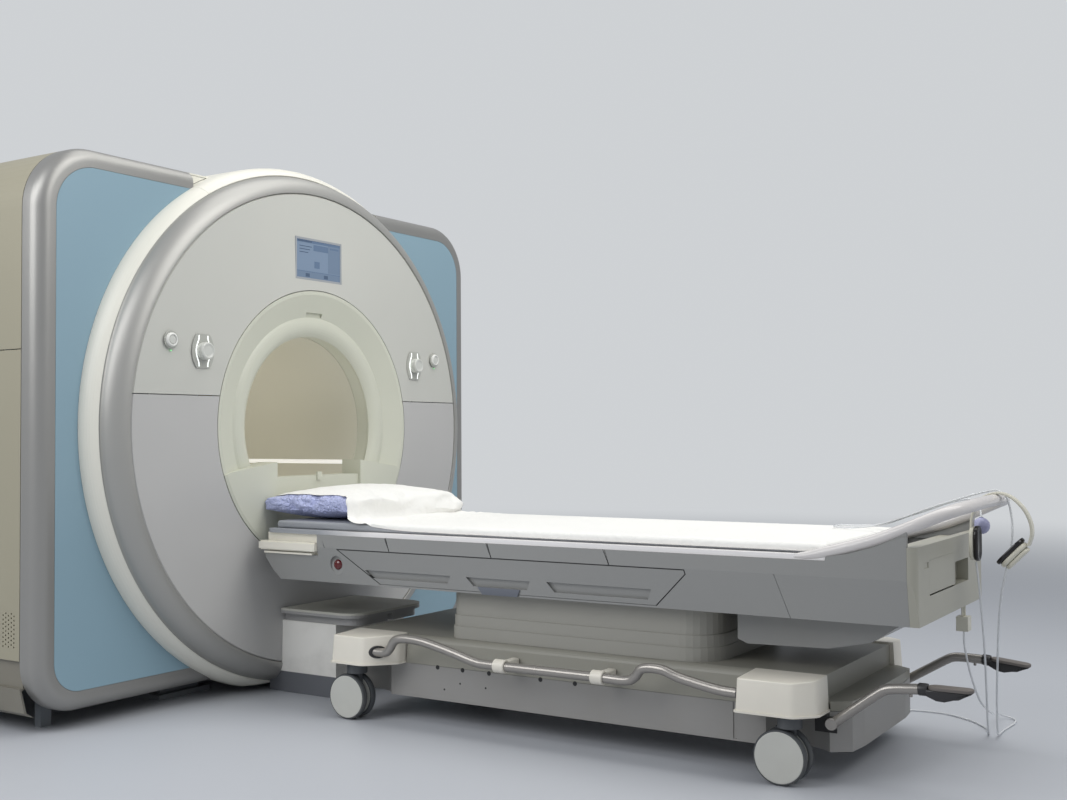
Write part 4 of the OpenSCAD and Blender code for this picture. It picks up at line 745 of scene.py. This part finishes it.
# Pedals
# A cranked steel tube on each side of the trolley's foot end, with a black moulded grip under a
# brown grey tread.
grip_black = grained("grip_black", "#2b2a2c", 0.4, grain=2400)
tread_brown = grained("tread_brown", "#6d6763", 0.55, grain=2400, tone=0.1, bump=0.2)
pedal_points = [(0, 0), (30, 22), (80, 60), (120, 90), (146, 106), (180, 112), (232, 116.4)]
pivot_x, pivot_side, pivot_z = 3.000, 0.332, 0.162
pivot_section = [(0, -0.014), (0.0150, -0.014), (0.0168, -0.012), (0.0168, 0.012), (0.0150, 0.014),
                 (0, 0.014)]
screw_section = [(0, -0.021), (0.0036, -0.021), (0.0044, -0.0195), (0.0044, -0.010)]
collar_section = [(0.0138, 0.232), (0.0158, 0.233), (0.0164, 0.236), (0.0164, 0.252), (0.0158, 0.256),
                  (0.010, 0.258)]
grip_outline = [(0.250, 0.1205), (0.250, 0.1045), (0.262, 0.0995), (0.280, 0.0925), (0.300, 0.0915),
                (0.322, 0.0985), (0.336, 0.1005), (0.350, 0.1085), (0.366, 0.1165), (0.371, 0.1205)]


def stadium(radius, half, axis, segments):
    """A flat face of two half circles drawn apart along an axis."""
    shape = bmesh.new()
    bmesh.ops.create_circle(shape, cap_ends=True, radius=radius, segments=segments)
    for v in shape.verts:
        v.co[axis] += half if v.co[axis] > 0 else -half
    return shape


for side, name, pressed in ((-1, "left", 0), (1, "right", 6)):
    body = "pedal_%s" % name
    swing = (Matrix.Translation((pivot_x, side * pivot_side, pivot_z))
             @ Matrix.Rotation(math.radians(pressed), 4, "Y"))
    route = [swing @ p for p in smooth_route([(x, 0, z) for x, z in pedal_points], 5)]
    placed(tube_curve("lever_%s" % name, route, 0.028, 7), [rail_paint], body, [body])
    shaft = turned([(0.010, 0), (0.010, 0.078), (0, 0.078)], (0, 0, 0), "Y", 32)
    if side > 0:
        moved(shaft, Matrix.Scale(-1, 4, (0, 1, 0)))
    pivot = joined(turned(pivot_section, (0, 0, 0), "Y", 40), shaft,
                   turned(screw_section, (0.212, 0, 0.115), "Z", 20))
    finished("pivot_%s" % name, moved(pivot, swing), [rail_paint], body)
    tread = moved(stadium(0.0215, 0.036, 0, 40), Matrix.Translation((0.3145, 0, 0.1195)))
    extruded(tread, tread.faces[:], (0, 0, 0.0098))
    rounded(tread, sharp_edges(tread, 50), 0.0028, 3)
    grip = joined(tinted(turned(collar_section, (0, 0, 0.1172), "X", 40), 0),
                  tinted(slab([(x, -0.0165, z) for x, z in grip_outline], (0, 0.033, 0), 0.0045), 0),
                  tinted(tread, 1))
    finished("grip_%s" % name, moved(grip, swing), [grip_black, tread_brown], body)

# Castor covers
# Each castor has a moulded off-white cover with round edges and a thin flared lip. The rail enters it
# through a dark rubber ring.
cover_starts = (1.322, 2.767)
cover_low, cover_high = 0.189, 0.286
cover_in, cover_edge, cover_out = 0.308, 0.33, 0.450
cover_l, cover_wall = 0.216, 0.003
rubber_dark = grained("rubber_dark", "#2f2e30", 0.6)
rubber_section = [(0.0150, -0.004), (0.0190, -0.004), (0.0205, -0.002), (0.0205, 0.004), (0.0150, 0.004),
                  (0.0150, -0.004)]
ring_slant = 0.932


def cover_outline(shape, x, side, grow, z):
    """One face in the plan of a castor cover, whose slant is shorter at the foot end."""
    near, far = (0.134, 0.362) if x == cover_starts[0] else (0.164, 0.398)
    plan = [(x - grow, cover_in), (x - grow, cover_out + grow), (x + near + grow / 2, cover_out + grow),
            (x + cover_l + grow, far + grow / 2), (x + cover_l + grow, cover_in)]
    return shape.faces.new([shape.verts.new((px, side * py, z)) for px, py in plan])


def cover_shell(x, side):
    """The cover's wall and top, which draw in upwards and are open below."""
    shell = bmesh.new()
    base = cover_outline(shell, x, side, 0, cover_low + 0.005)
    for v in extruded(shell, [base], (0, 0, cover_high - cover_low - 0.005)):
        v.co.x += (x + 0.100 - v.co.x) * 0.035
        if side * v.co.y > cover_edge:
            v.co.y -= side * 0.006
            v.co.z -= 0.006 if side * v.co.y > 0.40 else 0.002
    under = [f for f in shell.faces if abs(f.normal.z) > 0.9 and f.calc_center_median().z < cover_low + 0.02]
    bmesh.ops.delete(shell, geom=under, context="FACES_ONLY")
    uprights = [e for e in shell.edges if abs(e.verts[0].co.z - e.verts[1].co.z) > 0.05
                and all(side * v.co.y > cover_edge for v in e.verts)]
    rounded(shell, uprights, 0.010, 4)
    rims = [e for e in shell.edges if len(e.link_faces) == 2 and e.calc_face_angle(0) > 0.9
            and min(v.co.z for v in e.verts) > 0.25 and any(side * v.co.y > cover_edge for v in e.verts)]
    rounded(shell, rims, 0.0032, 3)
    bmesh.ops.recalc_face_normals(shell, faces=shell.faces)
    bmesh.ops.solidify(shell, geom=shell.faces[:], thickness=cover_wall)
    return shell


def cover_lip(x, side):
    """The flat flared ring round the cover's open underside."""
    lip = bmesh.new()
    cover_outline(lip, x, side, 0.0045, cover_low)
    extruded(lip, lip.faces[:], (0, 0, 0.0055))
    rounded(lip, [e for e in lip.edges if abs(e.verts[0].co.z - e.verts[1].co.z) > 0.002
                  and side * e.verts[0].co.y > cover_edge], 0.012, 3)
    caps = [f for f in lip.faces if abs(f.normal.z) > 0.9]
    bmesh.ops.inset_region(lip, faces=caps, thickness=0.010, use_even_offset=True)
    inner = [f for f in lip.faces if abs(f.normal.z) > 0.9 and len(f.verts) > 4]
    bmesh.ops.delete(lip, geom=inner, context="FACES_ONLY")
    bmesh.ops.bridge_loops(lip, edges=[e for e in lip.edges if e.is_boundary])
    return lip


for side, name in both_sides:
    for k, x in enumerate(cover_starts, 1):
        ring_x = x + 0.1690 if k == 1 else x - 0.001
        ring = turned(rubber_section, (ring_x, side * rail_y, rail_z), "X", 40)
        if k == 1:
            for v in ring.verts:
                v.co.x -= ring_slant * (side * v.co.y - rail_y)
        cover = joined(tinted(cover_shell(x, side), 0), tinted(cover_lip(x, side), 0), tinted(ring, 1))
        finished("cover_%s_%d" % (name, k), cover, [cap_plastic, rubber_dark], "trolley",
                 ["castor_covers"])

# Handle roots and pedal slots
# The table's side rises in a thin moulded web up to the bow handle. Low on the trolley's foot end a
# slot lets each pedal's shaft through; a thin near black plate on the skirt is painted shade for its opening.
root_outline = [(2.930, 0.6125), (2.960, 0.6200), (3.000, 0.6270), (3.060, 0.6390), (3.130, 0.6590),
                (3.200, 0.6870), (3.2145, 0.6935), (3.2145, 0.6125)]
pedal_slot_y = 0.3275
for side, name in both_sides:
    root = slab([(x, side * 0.3505, z) for x, z in root_outline], (0, side * 0.0100, 0), 0.0022)
    finished("handle_root_%s" % name, root, [table_paint], "table")
    # Painted shade: a thin near black plate where the slot's opening lies in shade.
    slot = block((2.950, side * pedal_slot_y - 0.001, 0.136), (3.012, side * pedal_slot_y + 0.001, 0.180),
                 0.0006, 1)
    finished("pedal_slot_%s" % name, slot, [hollow_shade_black], "trolley")

# Mattress
# A flat foam pad in welded grey vinyl lies on the tabletop.
mattress_x0, mattress_x1, mattress_y = 0.960, 2.990, 0.330
pad_low, pad_high = 0.6163, 0.6423
mattress_vinyl = grained("mattress_vinyl", "#9c9fa4", 0.42, grain=700, bump=0.15)
pad = block((mattress_x0, -mattress_y, pad_low), (mattress_x1, mattress_y, pad_high), 0.009, 4)
finished("mattress_pad", pad, [mattress_vinyl], "table", ["mattress"])

# Pillow
# A periwinkle blue pillow in a crinkled wipe-clean cover with upright sides, filled with fibre.
pillow_x, pillow_l, pillow_w, pillow_h = 1.078, 0.408, 0.618, 0.116
bag_l, bag_w, bag_h = 0.400, 0.600, 0.105
bed_z = 0.6426


def crinkle_group():
    """Fine random creases like those of a thin coated cloth, from Object coordinates in metres."""
    group, ins, outs = new_group("crinkles", ["Crease size"], ["Height"])
    place = object_place(group)
    bend = added(group, "TexNoise", {"Vector": place, "Scale": 14, "Detail": 2})["Color"]
    push = added(group, "VectorMath", {0: bend, 1: (0.05, 0.05, 0.05), 2: place}, operation="MULTIPLY_ADD")
    creases = added(group, "TexVoronoi", {"Vector": push["Vector"], "Scale": ins["Crease size"]},
                    feature="DISTANCE_TO_EDGE")
    wired(group, ramp(group, creases["Distance"], 0, 0.28, interpolation_type="SMOOTHSTEP"), outs["Height"])
    return group


crinkles = crinkle_group()


def creased(name, hex_colour, roughness, size, depth, sheen=0.0):
    """A cloth whose fine grain also carries creases."""
    material = grained(name, hex_colour, roughness, grain=1500, bump=0.12)
    tree = material.node_tree
    inputs = tree.nodes["Principled BSDF"].inputs
    inputs["Sheen Weight"].default_value = sheen
    fold = added(tree, "Group", {"Crease size": size}, node_tree=crinkles)["Height"]
    relief = added(tree, "Bump", {"Strength": 0.8, "Distance": depth, "Height": fold,
                                  "Normal": inputs["Normal"].links[0].from_socket})
    wired(tree, relief["Normal"], inputs["Normal"])
    return material


def ordered(shape):
    """Makes a bmesh anew with its parts in a fixed order and its places rounded to a micrometre.

    The bmesh operators' own order changes from run to run, and a cloth simulation carries that on.
    """
    for v in shape.verts:
        v.co = [round(c, 6) for c in v.co]
    ranked = sorted(shape.verts, key=lambda v: tuple(v.co))
    ranks = {v: rank for rank, v in enumerate(ranked)}
    rings = []
    for face in shape.faces:
        ring = [ranks[v] for v in face.verts]
        first = ring.index(min(ring))
        rings.append(ring[first:] + ring[:first])
    result = bmesh.new()
    verts = [result.verts.new(v.co) for v in ranked]
    for ring in sorted(rings):
        result.faces.new([verts[rank] for rank in ring])
    shape.free()
    return result


def settled(shape, frames, stiff, bend, quality=6, solids=(), pressure=0.0, gravity=1.0):
    """Runs a cloth simulation on a bmesh over some solids and gives its last frame."""
    scene = bpy.context.scene
    things = []
    for part in (shape, *solids):
        mesh = bpy.data.meshes.new("cloth_start")
        part.to_mesh(mesh)
        part.free()
        things.append(shown("cloth_start", mesh))
    for thing in things[1:]:
        thing.modifiers.new("solid", "COLLISION")
        thing.collision.thickness_outer = 0.0015
        thing.collision.cloth_friction = 40
    cloth = things[0].modifiers.new("cloth", "CLOTH")
    rules = cloth.settings
    rules.quality = quality
    rules.mass = 0.25
    rules.tension_stiffness = stiff
    rules.compression_stiffness = stiff
    rules.shear_stiffness = stiff / 2
    rules.bending_stiffness = bend
    rules.effector_weights.gravity = gravity
    if pressure:
        rules.use_pressure = True
        rules.uniform_pressure_force = pressure
    cloth.collision_settings.use_collision = bool(solids)
    cloth.collision_settings.distance_min = 0.0015
    cloth.point_cache.frame_start = 1
    cloth.point_cache.frame_end = frames
    for step in range(1, frames + 1):
        scene.frame_set(step)
    result = bmesh.new()
    result.from_object(things[0], bpy.context.evaluated_depsgraph_get())
    for thing in things:
        bpy.data.objects.remove(thing)
    scene.frame_set(1)
    return result


def smoothed(piece):
    smooth = piece.modifiers.new("smooth", "SUBSURF")
    smooth.levels = 1
    smooth.render_levels = 1


bag = bmesh.new()
bmesh.ops.create_grid(bag, x_segments=44, y_segments=66, size=0.5)
bmesh.ops.scale(bag, vec=(bag_l, bag_w, 1), verts=bag.verts)
extruded(bag, bag.faces[:], (0, 0, bag_h))
walls = [e for e in bag.edges if abs(e.verts[0].co.z - e.verts[1].co.z) > bag_h / 2]
bmesh.ops.subdivide_edges(bag, edges=walls, cuts=10, use_grid_fill=True)
bag = ordered(bag)
for v in bag.verts:
    v.co += 0.006 * Vector(noise.noise_vector(v.co * 28)) + 0.004 * Vector(noise.noise_vector(v.co * 70))
for face in bag.faces:
    face.smooth = True
bag = settled(bag, 22, 12, 0.14, pressure=2.1, gravity=0.0)
for axis, low, high in ((0, pillow_x - pillow_l / 2, pillow_x + pillow_l / 2),
                        (1, -pillow_w / 2, pillow_w / 2), (2, bed_z - 0.006, bed_z + pillow_h)):
    places = [v.co[axis] for v in bag.verts]
    first, last = min(places), max(places)
    for v in bag.verts:
        v.co[axis] = low + (v.co[axis] - first) / (last - first) * (high - low)
for v in bag.verts:
    v.co.z = max(v.co.z, bed_z + 0.0005)
pillow_solid = bag.copy()
pillow_cover = creased("pillow_cover", "#bdc4ec", 0.28, 60, 0.0045)
pillow = finished("pillow_bag", bag, [pillow_cover], "table", ["pillow"], crease=80)
smoothed(pillow)

# Bed sheet
# A white cotton sheet covers the mattress and runs up over the pillow's back. Its near hem lies on
# top of the pillow and slants down to the mattress at the pillow's foot side.
sheet_x0, sheet_x1, sheet_side = 0.892, 3.002, 0.352
near_hem, far_hem = -0.272, 0.412
tabletop_skin = 0.6190
pillow_end = pillow_x + pillow_l / 2


def eased(value, first, last):
    """Goes smoothly from 0 to 1 while a value goes from the first place to the last."""
    t = min(max((value - first) / (last - first), 0), 1)
    return t * t * (3 - 2 * t)


sheet = bmesh.new()
bmesh.ops.create_grid(sheet, x_segments=158, y_segments=54, size=0.5)
for v in sheet.verts:
    u, w = v.co.x + 0.5, v.co.y + 0.5
    x = sheet_x0 + u * (sheet_x1 - sheet_x0)
    at_foot = eased(x, 1.18, 1.31)
    near = near_hem + at_foot * (-near_hem - sheet_side)
    far = far_hem + at_foot * (sheet_side - far_hem)
    y = near + w * (far - near)
    down = eased(x, pillow_end - 0.03, pillow_end + 0.07)
    over = bed_z + pillow_h + 0.012
    z = over + down * (bed_z + 0.008 - over)
    ripple = noise.noise(Vector((x * 7, y * 3.2, 0.3)))
    puff = 0.016 * (1 - eased(x, 1.30, 1.46)) * math.sin(x * 44 + 5 * y + 3 * ripple)
    v.co = (x, y, z + puff + 0.006 * ripple + 0.003 * noise.noise(Vector((x * 19, y * 8, 4.0))))
flat_area = sum(f.calc_area() for f in sheet.faces)
for face in sheet.faces:
    face.smooth = True
bed_block = block((mattress_x0 - 0.01, -mattress_y, pad_low - 0.02),
                  (mattress_x1, mattress_y, pad_high), 0.010)
top_block = block((0.930, -0.366, 0.590), (3.040, 0.366, 0.6165), 0.003, 2)
solids = (pillow_solid, ordered(bed_block), ordered(top_block))
sheet = settled(sheet, 30, 22, 0.25, quality=7, solids=solids)
for v in sheet.verts:
    v.co.z = max(v.co.z, tabletop_skin)
sheet_cotton = creased("sheet_cotton", "#efeeea", 0.85, 26, 0.0009, sheen=0.15)
bed_cover = finished("cotton_sheet", sheet, [sheet_cotton], "table", ["bed_sheet"], crease=80)
hem = bed_cover.modifiers.new("thickness", "SOLIDIFY")
hem.thickness = 0.0012
hem.offset = 1
smoothed(bed_cover)

# Headset and call bulb
# A cream plastic band hooks over the bow handle and carries two ear cups with black pads. A rubber
# squeeze bulb hangs behind the near cup from its own tube.
headset_y = 0.070
headset_plastic = grained("headset_plastic", "#cfccbd", 0.32, grain=1800)
coat(headset_plastic, "lead_box")
pad_black = grained("pad_black", "#1a1718", 0.16, grain=900, bump=0.1)
bulb_rubber = grained("bulb_rubber", "#a9abcc", 0.42, grain=1200)
band_points = [
    (3280, 70, 650), (3281, 70, 700), (3301, 70, 750), (3343, 70, 771.9), (3385, 70, 763), (3420, 70, 730),
    (3438, 70, 692), (3441, 70, 658), (3432, 70, 628),
]
strap_section = ((1, 0.88), (1, -0.88), (0.3, -1), (-0.3, -1), (-1, -0.88), (-1, 0.88), (-0.3, 1), (0.3, 1))


def strap(route, width, thick):
    """A flat strap along a route that lies in an upright plane."""
    shape = bmesh.new()
    rings = []
    for k, place in enumerate(route):
        along = (route[min(k + 1, len(route) - 1)] - route[max(k - 1, 0)]).normalized()
        out = Vector((-along.z, 0, along.x))
        rings.append([shape.verts.new(place + out * a * thick / 2 + Vector((0, b * width / 2, 0)))
                      for a, b in strap_section])
    for first, second in zip(rings, rings[1:]):
        for i in range(8):
            shape.faces.new((first[i], first[(i + 1) % 8], second[(i + 1) % 8], second[i]))
    shape.faces.new(rings[0])
    shape.faces.new(rings[-1])
    return shape


def oval(reach, radius, half, thick, round_r, index, dish=0.0):
    """An upright stadium plate that faces -X, from a reach along X on, with round edges."""
    shape = stadium(radius, half, 1, 48)
    extruded(shape, shape.faces[:], (0, 0, thick))
    if dish:
        face = max(shape.faces, key=lambda f: -f.calc_center_median().z)
        bmesh.ops.inset_region(shape, faces=[face], thickness=radius * 0.42, use_even_offset=True)
        bmesh.ops.translate(shape, vec=(0, 0, dish), verts=face.verts)
    rounded(shape, sharp_edges(shape, 50), round_r, 4)
    way = (Matrix.Translation((reach, 0, 0)) @ Matrix.Rotation(math.pi / 2, 4, "Y")
           @ Matrix.Rotation(math.pi / 2, 4, "Z"))
    return tinted(moved(shape, way), index)


cup_a = joined(oval(0, 0.0285, 0.022, 0.0150, 0.0055, 1, 0.006),
               oval(0.0150, 0.0265, 0.022, 0.0120, 0.0040, 0))
moved(cup_a, Matrix.Translation((3.302, headset_y, 0.628)) @ Matrix.Scale(-1, 4, (1, 0, 0)))
cup_b = joined(oval(0, 0.0285, 0.022, 0.0140, 0.0050, 1, 0.006),
               oval(0.0140, 0.0268, 0.020, 0.0150, 0.0060, 0),
               oval(0.0290, 0.0215, 0.020, 0.0120, 0.0050, 0))
moved(cup_b, Matrix.Translation((3.378, headset_y, 0.6146)) @ Matrix.Rotation(math.radians(44), 4, "Y"))
band = strap(smooth_route(band_points, 6), 0.030, 0.007)
bulb = turned([(0, -0.024), (0.0065, -0.0232), (0.0130, -0.0203), (0.0190, -0.0150), (0.0230, -0.0070),
               (0.0240, 0.0010), (0.0225, 0.0090), (0.0180, 0.0160), (0.0110, 0.0212), (0.0060, 0.0235),
               (0.0055, 0.0250)], (3.292, 0.128, 0.674), "Z", 48)
finished("headset_set", joined(tinted(band, 0), cup_a, cup_b, tinted(bulb, 2)),
         [headset_plastic, pad_black, bulb_rubber], "table", ["headset"], crease=45)
